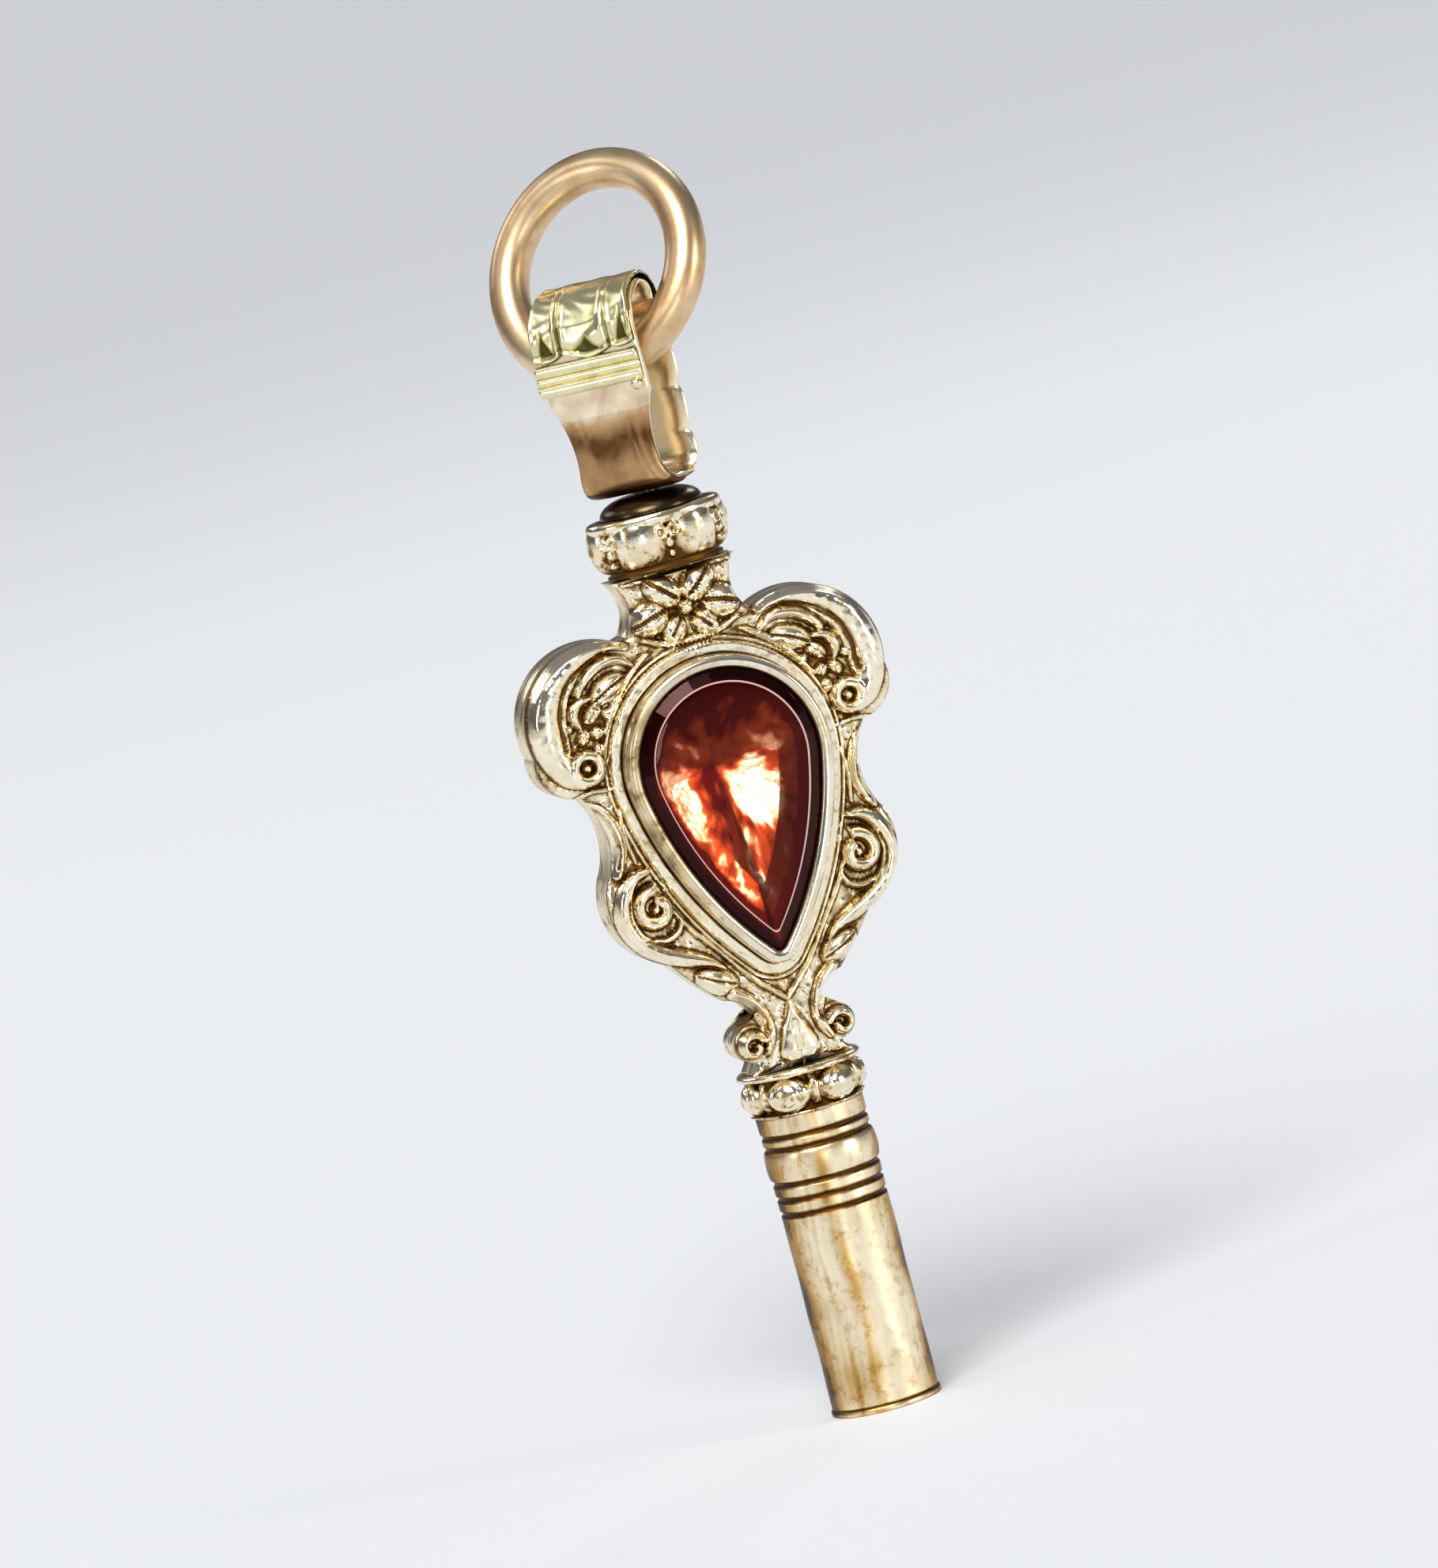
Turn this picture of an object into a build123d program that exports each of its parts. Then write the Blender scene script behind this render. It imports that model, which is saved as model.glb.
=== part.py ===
from build123d import *
import os
from math import asin, atan2, cos, degrees, hypot, radians, sin, sqrt

os.makedirs("parts", exist_ok=True)

# Heights along the key, in millimetres, from the mouth of the pipe upwards
pipe_length = 8.5
collar_height = 1.25
body_height = 14.0
crown_height = 1.65
dome_height = 0.5
bail_height = 5.75

# Widths and depths of the body
body_width = 10.3
body_rim_depth = 1.8

# Pipe
pipe_radius = 1.5
pipe_wall = 0.25
pipe_lip = 0.05
pipe_lip_height = 0.18
pipe_band_bulge = 0.07
groove_radius = 0.07
socket_across = 1.3
socket_depth = 5.5
socket_lead = 0.12
tang_radius = 0.4
tang_length = 3.8

# Lobed collar between pipe and body
collar_radius = 1.42
collar_plate_radius = 1.75
collar_plate_height = 0.18
collar_bud_circle = 1.3
collar_bud_radius = 0.5

# Stamped shells
shell_wall = 0.25
shell_face = 0.3
frame_width = 0.3
frame_height = 0.22
petal_height = 0.3

# Stone and its setting
waist_land = 0.44
stone_side_radius = 10.2
stone_tip_radius = 0.3
stone_inner_tip_radius = 0.12
stone_pavilion_depth = 0.55
stone_pavilion_inset = 1.4
stone_girdle = 0.08
stone_bevel_height = 0.3
stone_bevel_width = 0.5
foil_thickness = 0.04
foil_margin = 0.1
bezel_wall = 0.25
bezel_floor = 0.15
bezel_lip = 0.12
bezel_lip_rise = 0.1
bezel_lip_height = 0.12
bezel_edge = 0.08

# Crown above the neck
crown_width = 4.0
crown_depth = 3.1
crown_bud_radius = 0.68
crown_core_inset = 0.35
crown_foot_height = 0.25
crown_foot_inset = 0.7

# Swivelling bail, a loop of strap
strap_thickness = 0.33
loop_depth = 2.63
loop_foot_half = 1.2
loop_foot_radius = 0.75
strap_top_half = 1.48
strap_front_half = 1.58
strap_waist_half = 1.22
strap_back_half = 1.3
strap_notch_half = 1.14
strap_foot_half = 1.5
leaf_thickness = 0.16
leaf_overhang = 0.04
leaf_front_drop = 1.6
leaf_back_drop = 1.1
band_height = 0.9
band_plate = 0.12
band_ridge_radius = 0.16
bead_radius = 0.17

# Swivel rivet and the dome it stands in
rivet_radius = 0.35
rivet_head_radius = 0.5
rivet_head_height = 0.34
rivet_head_round = 0.28
rivet_depth = 1.9
dome_radius = 1.45
dome_top_radius = 0.95
dome_round = 0.72

# Hanging ring
ring_radius = 2.83
ring_wire_radius = 0.57
ring_drop = 0.3
ring_shift = 0.3

# Angles in degrees: the pose at rest, the stone's shoulder and the petals
bail_turn = 41.0
ring_tilt = 25.0
ring_lean = 14.0
shoulder_angle = 10.0
petal_turn = 45.0
petal_taper = 35.0

# Clearances and the overrun of every cut
solder_gap = 0.02
running_gap = 0.05
cut_overrun = 0.5

# Levels and half sizes that follow
body_foot = pipe_length + collar_height
body_top = body_foot + body_height
crown_top = body_top + crown_height
dome_top = crown_top + dome_height
bail_foot = dome_top + running_gap
bail_top = bail_foot + bail_height
rim = body_rim_depth / 2
half_width = body_width / 2

# Places on the right half of the cartouche, as shares of its half width and its height
crown_seat_shares = (0.340, 1.000)
neck_waist_shares = (0.285, 0.935)
neck_foot_shares = (0.330, 0.893)
scroll_start_shares = (0.375, 0.888)
scroll_crest_shares = (0.750, 0.890)
scroll_end_shares = (0.978, 0.712)
scroll_curl_shares = (0.940, 0.645)
scroll_foot_shares = (0.790, 0.617)
waist_shares = (0.705, 0.528)
volute_top_shares = (0.767, 0.443)
volute_out_shares = (0.785, 0.345)
volute_foot_shares = (0.555, 0.255)
lobe_out_shares = (0.470, 0.215)
lobe_foot_shares = (0.330, 0.160)
taper_shares = (0.195, 0.125)
taper_foot_shares = (0.165, 0.086)
curl_out_shares = (0.335, 0.060)
curl_foot_shares = (0.240, 0.026)
collar_seat_shares = (0.285, 0.000)


def place(shares):
    """A point of the right half outline, from its shares of half width and height."""
    return (shares[0] * half_width, body_foot + shares[1] * body_height)


def cartouche(inset):
    """The body's outline on the seam plane, drawn smaller all round by the inset."""
    with BuildSketch(Plane.XZ) as face:
        with BuildLine():
            Line((0, body_top), place(crown_seat_shares))
            ThreePointArc(
                place(crown_seat_shares), place(neck_waist_shares), place(neck_foot_shares)
            )
            Line(place(neck_foot_shares), place(scroll_start_shares))
            ThreePointArc(
                place(scroll_start_shares), place(scroll_crest_shares), place(scroll_end_shares)
            )
            ThreePointArc(
                place(scroll_end_shares), place(scroll_curl_shares), place(scroll_foot_shares)
            )
            ThreePointArc(
                place(scroll_foot_shares), place(waist_shares), place(volute_top_shares)
            )
            ThreePointArc(
                place(volute_top_shares), place(volute_out_shares), place(volute_foot_shares)
            )
            ThreePointArc(
                place(volute_foot_shares), place(lobe_out_shares), place(lobe_foot_shares)
            )
            ThreePointArc(
                place(lobe_foot_shares), place(taper_shares), place(taper_foot_shares)
            )
            ThreePointArc(
                place(taper_foot_shares), place(curl_out_shares), place(curl_foot_shares)
            )
            Line(place(curl_foot_shares), place(collar_seat_shares))
            Line(place(collar_seat_shares), (0, body_foot))
            Line((0, body_foot), (0, body_top))
        make_face()
        mirror(about=Plane.YZ)
        if inset:
            offset(amount=-inset, kind=Kind.ARC)
    return face.sketch


# The stone's round head: its level as a share of the body's height, and the width that the
# waist leaves for it inside its setting
stone_centre_share = 0.618
stone_centre = body_foot + stone_centre_share * body_height
frame_reach = bezel_wall + solder_gap + frame_width
stone_half_width = place(waist_shares)[0] - waist_land - frame_reach
side_reach = stone_side_radius - stone_half_width


def pear(inset, depth):
    """The stone's pear outline, smaller all round by the inset, at a depth before the seam.

    A round head is tangent to two long side arcs, which meet in a rounded tip below.
    """
    head = stone_half_width - inset
    side = stone_side_radius - inset
    across = side_reach * cos(radians(shoulder_angle))
    rise = side_reach * sin(radians(shoulder_angle))
    shoulder = (
        head * cos(radians(shoulder_angle)),
        stone_centre - head * sin(radians(shoulder_angle)),
    )
    drop = sqrt(side * side - across * across)
    tip = (0, stone_centre + rise - drop)
    swing = (radians(shoulder_angle) + atan2(drop, across)) / 2
    flank = (side * cos(swing) - across, stone_centre + rise - side * sin(swing))
    with BuildSketch(Plane.XZ.offset(depth)) as face:
        with BuildLine():
            CenterArc((0, stone_centre), head, -shoulder_angle, 180 + 2 * shoulder_angle)
            ThreePointArc(shoulder, flank, tip)
            ThreePointArc((-shoulder[0], shoulder[1]), (-flank[0], flank[1]), tip)
        make_face()
        fillet(
            face.vertices().sort_by(Axis.Y)[0],
            radius=max(stone_tip_radius - inset, stone_inner_tip_radius),
        )
    return face.sketch


# Raised scrolls, each a tube along an arc on the shell's face: centres as shares of half width
# and height, radii as shares of half width, angles in degrees
scroll_centre_shares = (0.555, 0.757)
scroll_radius_share = 0.335
scroll_angles = (128, 95, 55, 15, -20, -48)
scroll_tube_shares = (0.045, 0.075, 0.100, 0.100, 0.085, 0.060)
scroll_boss_shares = (0.762, 0.670)
scroll_boss_radius_share = 0.115
volute_centre_shares = (0.560, 0.365)
volute_radius_share = 0.175
volute_angles = (120, 75, 25, -25, -75, -115)
volute_tube_shares = (0.035, 0.055, 0.065, 0.065, 0.060, 0.045)
volute_boss_radius_share = 0.095
leaf_places_shares = ((0.40, 0.845), (0.53, 0.815), (0.63, 0.755))
leaf_radius_share = 0.085
foot_curl_shares = (0.262, 0.062)
foot_curl_radius_share = 0.085
flower_centre_shares = (0.0, 0.92)
petal_reach_share = 0.155
petal_radius_share = 0.095
petal_count = 4
flower_leaf_radius = 0.4


def ridge(centre_shares, radius_share, angles, tube_shares):
    """A smooth raised tube of changing size, along an arc on the shell's face."""
    centre = place(centre_shares)
    radius = radius_share * half_width
    with BuildPart() as tube:
        for angle, tube_share in zip(angles, tube_shares):
            turn = radians(angle)
            spot = (centre[0] + radius * cos(turn), -rim, centre[1] + radius * sin(turn))
            with BuildSketch(Plane(origin=spot, z_dir=(-sin(turn), 0, cos(turn)))):
                Circle(tube_share * half_width)
        loft()
    return tube.part


def face_spots(places_shares):
    """Centres half way into the shell's front face, mirrored from right to left."""
    right = [place(shares) for shares in places_shares]
    middle = -(rim - shell_face / 2)
    return [(side * across, middle, height) for across, height in right for side in (1, -1)]


# Front shell: a stamped cup with raised scrolls, bosses, flower and a frame round the stone
with BuildPart() as front_shell:
    extrude(cartouche(0), amount=rim)
    add(ridge(scroll_centre_shares, scroll_radius_share, scroll_angles, scroll_tube_shares))
    add(ridge(volute_centre_shares, volute_radius_share, volute_angles, volute_tube_shares))
    mirror(about=Plane.YZ)
    with Locations(face_spots([scroll_boss_shares])):
        Sphere(scroll_boss_radius_share * half_width)
    with Locations(face_spots([volute_centre_shares])):
        Sphere(volute_boss_radius_share * half_width)
    with Locations(face_spots(leaf_places_shares)):
        Sphere(leaf_radius_share * half_width)
    with Locations(face_spots([foot_curl_shares])):
        Sphere(foot_curl_radius_share * half_width)
    extrude(pear(-frame_reach, rim), amount=frame_height)
    with BuildSketch(Plane.XZ.offset(rim)):
        with Locations(place(flower_centre_shares)):
            with PolarLocations(petal_reach_share * half_width, petal_count, petal_turn):
                Circle(petal_radius_share * half_width)
    extrude(amount=petal_height, taper=petal_taper)
    with Locations((0, -(rim - shell_face / 2), stone_centre + stone_half_width + frame_reach)):
        Sphere(flower_leaf_radius)
    extrude(pear(-(bezel_wall + solder_gap), rim), amount=cut_overrun, mode=Mode.SUBTRACT)
    extrude(cartouche(shell_wall), amount=rim - shell_face, mode=Mode.SUBTRACT)
    with BuildSketch(Plane.XY.offset(body_foot)):
        Circle(tang_radius + solder_gap)
    extrude(amount=tang_length, mode=Mode.SUBTRACT)
    with BuildSketch(Plane.XY.offset(body_top)):
        Circle(rivet_radius + solder_gap)
    extrude(amount=-rivet_depth, mode=Mode.SUBTRACT)

with BuildPart() as back_shell:
    mirror(front_shell.part, about=Plane.XZ)

# Filling between the shells, with sockets for the tang below and the rivet above
with BuildPart() as body_fill:
    extrude(cartouche(shell_wall + solder_gap), amount=rim - shell_face - solder_gap, both=True)
    with BuildSketch(Plane.XY.offset(body_foot)):
        Circle(tang_radius + solder_gap)
    extrude(amount=tang_length + solder_gap, mode=Mode.SUBTRACT)
    with BuildSketch(Plane.XY.offset(body_top)):
        Circle(rivet_radius + solder_gap)
    extrude(amount=-(rivet_depth + solder_gap), mode=Mode.SUBTRACT)

# Depths of the setting, from the shell's face outwards
foil_back = rim + bezel_floor
stone_back = foil_back + foil_thickness
girdle_back = stone_back + stone_pavilion_depth
girdle_front = girdle_back + stone_girdle
lip_back = girdle_front + bezel_lip_rise
bezel_front = lip_back + bezel_lip_height

# Pear-shaped closed setting, whose rim is rubbed over the edge of the stone
with BuildPart() as front_bezel:
    extrude(pear(-bezel_wall, rim), amount=bezel_front - rim)
    chamfer(front_bezel.faces().sort_by(Axis.Y)[0].edges(), length=bezel_edge)
    extrude(pear(-solder_gap, foil_back), amount=lip_back - foil_back, mode=Mode.SUBTRACT)
    extrude(pear(bezel_lip, foil_back), amount=bezel_front, mode=Mode.SUBTRACT)

# Bright foil behind the stone
with BuildPart() as front_foil:
    extrude(pear(foil_margin, foil_back), amount=foil_thickness)

# Cut stone: a tapered back, a thin girdle, and a bevel up to the flat table
with BuildPart() as front_stone:
    loft([pear(stone_pavilion_inset, stone_back).face(), pear(0, girdle_back).face()], ruled=True)
    extrude(pear(0, girdle_back), amount=stone_girdle)
    loft(
        [
            pear(0, girdle_front).face(),
            pear(stone_bevel_width, girdle_front + stone_bevel_height).face(),
        ],
        ruled=True,
    )

with BuildPart() as back_bezel:
    mirror(front_bezel.part, about=Plane.XZ)
with BuildPart() as back_foil:
    mirror(front_foil.part, about=Plane.XZ)
with BuildPart() as back_stone:
    mirror(front_stone.part, about=Plane.XZ)

# Turned marks on the pipe, as shares of its length
band_shares = (0.79, 0.885)
groove_shares = (0.68, 0.73, 0.78, 0.895, 0.935)

# Turned tube of the pipe, with a lip at its mouth, a rounded band and cut grooves
with BuildPart() as pipe_casing:
    with BuildSketch(Plane.XZ):
        with BuildLine():
            Polyline(
                (pipe_radius, band_shares[1] * pipe_length),
                (pipe_radius, pipe_length),
                (pipe_radius - pipe_wall, pipe_length),
                (pipe_radius - pipe_wall, 0),
                (pipe_radius + pipe_lip, 0),
                (pipe_radius + pipe_lip, pipe_lip_height),
                (pipe_radius, pipe_lip_height + pipe_lip),
                (pipe_radius, band_shares[0] * pipe_length),
            )
            ThreePointArc(
                (pipe_radius, band_shares[0] * pipe_length),
                (pipe_radius + pipe_band_bulge, sum(band_shares) / 2 * pipe_length),
                (pipe_radius, band_shares[1] * pipe_length),
            )
        make_face()
    revolve(axis=Axis.Z)
    with BuildSketch(Plane.XZ):
        with Locations([(pipe_radius, share * pipe_length) for share in groove_shares]):
            Circle(groove_radius)
    revolve(axis=Axis.Z, mode=Mode.SUBTRACT)

# Steel core with the square winding socket, drawn in above to a tang
core_radius = pipe_radius - pipe_wall - solder_gap
core_top = body_foot - solder_gap
with BuildPart() as pipe_core:
    with BuildSketch():
        Circle(core_radius)
    extrude(amount=core_top)
    with BuildSketch(Plane.XY.offset(core_top)):
        Circle(tang_radius)
    extrude(amount=tang_length - 2 * solder_gap)
    with BuildSketch():
        Rectangle(socket_across, socket_across)
    extrude(amount=socket_depth, mode=Mode.SUBTRACT)
    with BuildSketch() as mouth:
        Rectangle(socket_across + 2 * socket_lead, socket_across + 2 * socket_lead)
    with BuildSketch(Plane.XY.offset(socket_lead)) as throat:
        Rectangle(socket_across, socket_across)
    loft([mouth.face(), throat.face()], ruled=True, mode=Mode.SUBTRACT)

# Buds of collar and crown, with a cleft between two of them at the front
bud_count = 6
bud_pitch = 360 / bud_count

# Lobed collar: a ring of buds under a thin plate
with BuildPart() as pipe_collar:
    with BuildSketch(Plane.XY.offset(pipe_length)):
        Circle(collar_radius)
    extrude(amount=collar_height)
    bud_level = pipe_length + (collar_height - collar_plate_height) / 2
    with Locations((0, 0, bud_level)):
        with PolarLocations(collar_bud_circle, bud_count):
            Sphere(collar_bud_radius)
    with BuildSketch(Plane.XY.offset(body_foot)):
        Circle(collar_plate_radius)
    extrude(amount=-collar_plate_height)
    with BuildSketch(Plane.XY.offset(pipe_length)):
        Circle(core_radius + solder_gap)
    extrude(amount=collar_height, mode=Mode.SUBTRACT)

# Crown: an oval cushion of buds on a narrower foot
with BuildPart() as crown:
    with BuildSketch(Plane.XY.offset(body_top + crown_foot_height)):
        Ellipse(crown_width / 2 - crown_core_inset, crown_depth / 2 - crown_core_inset)
    extrude(amount=crown_height - crown_foot_height)
    with BuildSketch(Plane.XY.offset(body_top)):
        Ellipse(crown_width / 2 - crown_foot_inset, crown_depth / 2 - crown_foot_inset)
    extrude(amount=crown_foot_height)
    bud_level = crown_top - (crown_height - crown_foot_height) / 2
    bud_turns = [radians(bud_pitch * bud) for bud in range(bud_count)]
    bud_across = crown_width / 2 - crown_bud_radius
    bud_before = (crown_depth / 2 - crown_bud_radius) / sin(radians(bud_pitch))
    with Locations([(bud_across * cos(a), bud_before * sin(a), bud_level) for a in bud_turns]):
        Sphere(crown_bud_radius)
    with BuildSketch(Plane.XY.offset(body_top)):
        Circle(rivet_radius + solder_gap)
    extrude(amount=crown_height, mode=Mode.SUBTRACT)

# Domed washer on the crown, which the bail turns on
with BuildPart() as swivel_dome:
    with BuildSketch(Plane.XZ):
        with BuildLine():
            Polyline(
                (dome_top_radius, dome_top),
                (rivet_radius + solder_gap, dome_top),
                (rivet_radius + solder_gap, crown_top),
                (dome_radius, crown_top),
            )
            RadiusArc((dome_radius, crown_top), (dome_top_radius, dome_top), -dome_round)
        make_face()
    revolve(axis=Axis.Z)

# Rivet whose head holds the bail's foot down on the dome
head_foot = bail_foot + strap_thickness + running_gap
with BuildPart() as swivel_rivet:
    with BuildSketch(Plane.XY.offset(body_top - rivet_depth + solder_gap)):
        Circle(rivet_radius)
    extrude(amount=head_foot - body_top + rivet_depth - solder_gap)
    with BuildSketch(Plane.XY.offset(head_foot)):
        Circle(rivet_head_radius)
    extrude(amount=rivet_head_height)
    fillet(swivel_rivet.edges().group_by(Axis.Z)[-1], radius=rivet_head_round)

# The bail's own directions: out of its front leg, and across its strap
turn = radians(bail_turn)
strap_outward = (-sin(turn), -cos(turn), 0)
strap_across = (cos(turn), -sin(turn), 0)
side_view = Plane(origin=(0, 0, 0), x_dir=strap_outward, z_dir=(-cos(turn), sin(turn), 0))
front_view = Plane(origin=(0, 0, 0), x_dir=strap_across, z_dir=strap_outward)
leg_face = loop_depth / 2
strap_reach = strap_foot_half + cut_overrun

# Levels of the strap's shape, as shares of the bail's height
waist_level_share = 0.21
shoulder_level_share = 0.48
brow_level_share = 0.86
lobe_level_shares = (0.05, 0.22, 0.435, 0.65, 0.86)
band_level_share = 0.61
eye_level_share = 0.67


def bail_level(share):
    """A height on the bail, from its share of the bail's height."""
    return bail_foot + share * bail_height


def loop_side(growth):
    """The bail's outline seen from the side, round on top and drawn in to its foot.

    Each leg is the common tangent of the round top and of the heel's small circle.
    """
    crest = bail_top - leg_face
    heel = bail_foot + loop_foot_radius
    flat = loop_foot_half - loop_foot_radius
    rise = crest - heel
    slope = asin((leg_face - loop_foot_radius) / hypot(flat, rise)) - atan2(flat, rise)
    top = (leg_face * cos(slope), crest - leg_face * sin(slope))
    low = (flat + loop_foot_radius * cos(slope), heel - loop_foot_radius * sin(slope))
    lean = degrees(slope)
    with BuildSketch(side_view) as side:
        with BuildLine():
            CenterArc((0, crest), leg_face, -lean, 180 + 2 * lean)
            Line((-top[0], top[1]), (-low[0], low[1]))
            CenterArc((-flat, heel), loop_foot_radius, 180 + lean, 90 - lean)
            Line((-flat, bail_foot), (flat, bail_foot))
            CenterArc((flat, heel), loop_foot_radius, 270, 90 - lean)
            Line(low, top)
        make_face()
        if growth:
            offset(amount=growth, kind=Kind.ARC)
    return side.sketch


# Outline of the front leg, waisted above its foot
with BuildSketch(front_view) as front_leg:
    with BuildLine():
        ThreePointArc(
            (strap_foot_half, bail_foot),
            (strap_waist_half, bail_level(waist_level_share)),
            (strap_front_half, bail_level(shoulder_level_share)),
        )
        Polyline(
            (strap_front_half, bail_level(shoulder_level_share)),
            (strap_front_half, bail_level(brow_level_share)),
            (strap_top_half, bail_top),
            (0, bail_top),
            (0, bail_foot),
            (strap_foot_half, bail_foot),
        )
    make_face()
    mirror(about=Plane.YZ)

# Outline of the back leg, whose edges run in lobes
with BuildSketch(front_view) as back_leg:
    with BuildLine():
        Polyline(
            (strap_notch_half, bail_level(lobe_level_shares[-1])),
            (strap_top_half, bail_top),
            (0, bail_top),
            (0, bail_foot),
            (strap_foot_half, bail_foot),
            (strap_notch_half, bail_level(lobe_level_shares[0])),
        )
        for low_share, high_share in zip(lobe_level_shares, lobe_level_shares[1:]):
            ThreePointArc(
                (strap_notch_half, bail_level(low_share)),
                (strap_back_half, bail_level((low_share + high_share) / 2)),
                (strap_notch_half, bail_level(high_share)),
            )
    make_face()
    mirror(about=Plane.YZ)

with BuildPart() as strap_outlines:
    extrude(front_leg.sketch, amount=loop_depth)
    extrude(back_leg.sketch, amount=-loop_depth)

# Strap of the bail, bent into a closed loop, with a hole for the rivet in its foot
with BuildPart() as bail_strap:
    extrude(loop_side(0), amount=strap_reach, both=True)
    extrude(loop_side(-strap_thickness), amount=strap_reach, both=True, mode=Mode.SUBTRACT)
    add(strap_outlines.part, mode=Mode.INTERSECT)
    with BuildSketch(Plane.XY.offset(bail_foot)):
        Circle(rivet_radius + running_gap)
    extrude(amount=strap_thickness, mode=Mode.SUBTRACT)

# Leaf ornament folded over the top of the loop, scalloped along its front edge
leaf_half = strap_front_half + leaf_overhang
leaf_hem = bail_top - leaf_front_drop
petal_width = 2 * leaf_half / 3
with BuildPart() as leaf_outline:
    with BuildSketch(front_view):
        with BuildLine():
            for step in (-1, 0, 1):
                ThreePointArc(
                    ((step - 1 / 2) * petal_width, leaf_hem),
                    (step * petal_width, leaf_hem - leaf_thickness),
                    ((step + 1 / 2) * petal_width, leaf_hem),
                )
            Polyline(
                (leaf_half, leaf_hem),
                (leaf_half, bail_level(brow_level_share)),
                (strap_top_half, bail_top + 2 * leaf_thickness),
                (-strap_top_half, bail_top + 2 * leaf_thickness),
                (-leaf_half, bail_level(brow_level_share)),
                (-leaf_half, leaf_hem),
            )
        make_face()
    extrude(amount=loop_depth)
    with BuildSketch(front_view):
        with BuildLine():
            Polyline(
                (strap_top_half, bail_top + 2 * leaf_thickness),
                (strap_notch_half, bail_top - leaf_back_drop),
                (-strap_notch_half, bail_top - leaf_back_drop),
                (-strap_top_half, bail_top + 2 * leaf_thickness),
                (strap_top_half, bail_top + 2 * leaf_thickness),
            )
        make_face()
    extrude(amount=-loop_depth)

with BuildPart() as bail_leaf:
    extrude(loop_side(solder_gap + leaf_thickness), amount=strap_reach, both=True)
    extrude(loop_side(solder_gap), amount=strap_reach, both=True, mode=Mode.SUBTRACT)
    add(leaf_outline.part, mode=Mode.INTERSECT)

# Moulding across the front leg, three rounded ridges on a plate, with a bead at one end
band_low = bail_level(band_level_share) - band_height / 2
band_high = band_low + band_height
band_middle = (band_low + band_high) / 2
with BuildPart() as bail_band:
    with BuildSketch(side_view):
        with Locations((leg_face + band_plate / 2, band_middle)):
            Rectangle(band_plate, band_height)
        with Locations(
            (leg_face + band_plate, band_low + band_ridge_radius),
            (leg_face + band_plate, band_middle),
            (leg_face + band_plate, band_high - band_ridge_radius),
        ):
            Circle(band_ridge_radius)
        with Locations((leg_face - band_ridge_radius / 2, band_middle)):
            Rectangle(band_ridge_radius, band_height, mode=Mode.SUBTRACT)
    extrude(amount=leaf_half, both=True)
    bead_spot = front_view.from_local_coords(
        (strap_front_half - bead_radius, band_low - bead_radius / 2, leg_face + bead_radius)
    )
    with Locations(bead_spot):
        Sphere(bead_radius)

# Hanging ring through the bail, tilted back and leaning as it lies
tilt = radians(ring_tilt)
lean = radians(ring_lean)
outward = Vector(*strap_outward)
across = Vector(*strap_across)
upward = Vector(0, 0, 1)
ring_up = upward * cos(tilt) - outward * sin(tilt)
ring_eye = across * ring_shift + upward * bail_level(eye_level_share)
ring_centre = ring_eye + (ring_up * cos(lean) - across * sin(lean)) * (ring_radius - ring_drop)
ring_plane = Plane(origin=ring_centre, z_dir=outward * cos(tilt) + upward * sin(tilt))
with BuildPart(ring_plane) as hanging_ring:
    Torus(ring_radius, ring_wire_radius)

pieces = {
    "front_shell": front_shell,
    "back_shell": back_shell,
    "body_fill": body_fill,
    "front_bezel": front_bezel,
    "front_foil": front_foil,
    "front_stone": front_stone,
    "back_bezel": back_bezel,
    "back_foil": back_foil,
    "back_stone": back_stone,
    "pipe_casing": pipe_casing,
    "pipe_core": pipe_core,
    "pipe_collar": pipe_collar,
    "crown": crown,
    "swivel_dome": swivel_dome,
    "swivel_rivet": swivel_rivet,
    "bail_strap": bail_strap,
    "bail_leaf": bail_leaf,
    "bail_band": bail_band,
    "hanging_ring": hanging_ring,
}
for name, piece in pieces.items():
    piece.part.label = name
    export_step(piece.part, f"parts/{name}.step")

print("overall height", ring_centre.Z + ring_radius * cos(tilt) + ring_wire_radius)
print("ring eye", tuple(ring_eye), "swing axis", tuple(-across))
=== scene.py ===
# %% [markdown]
# # A gilt pendant watch key, dressed for its picture
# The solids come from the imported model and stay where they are. Each visible piece is then
# worked out again with numpy, finer than a solid model needs, and rides on the body of the
# solid that it stands for. Sizes are in millimetres until a mesh is made.

# %% Load the frame
import math

import bmesh
import bpy
import numpy as np
from mathutils import Matrix, Vector


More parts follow.
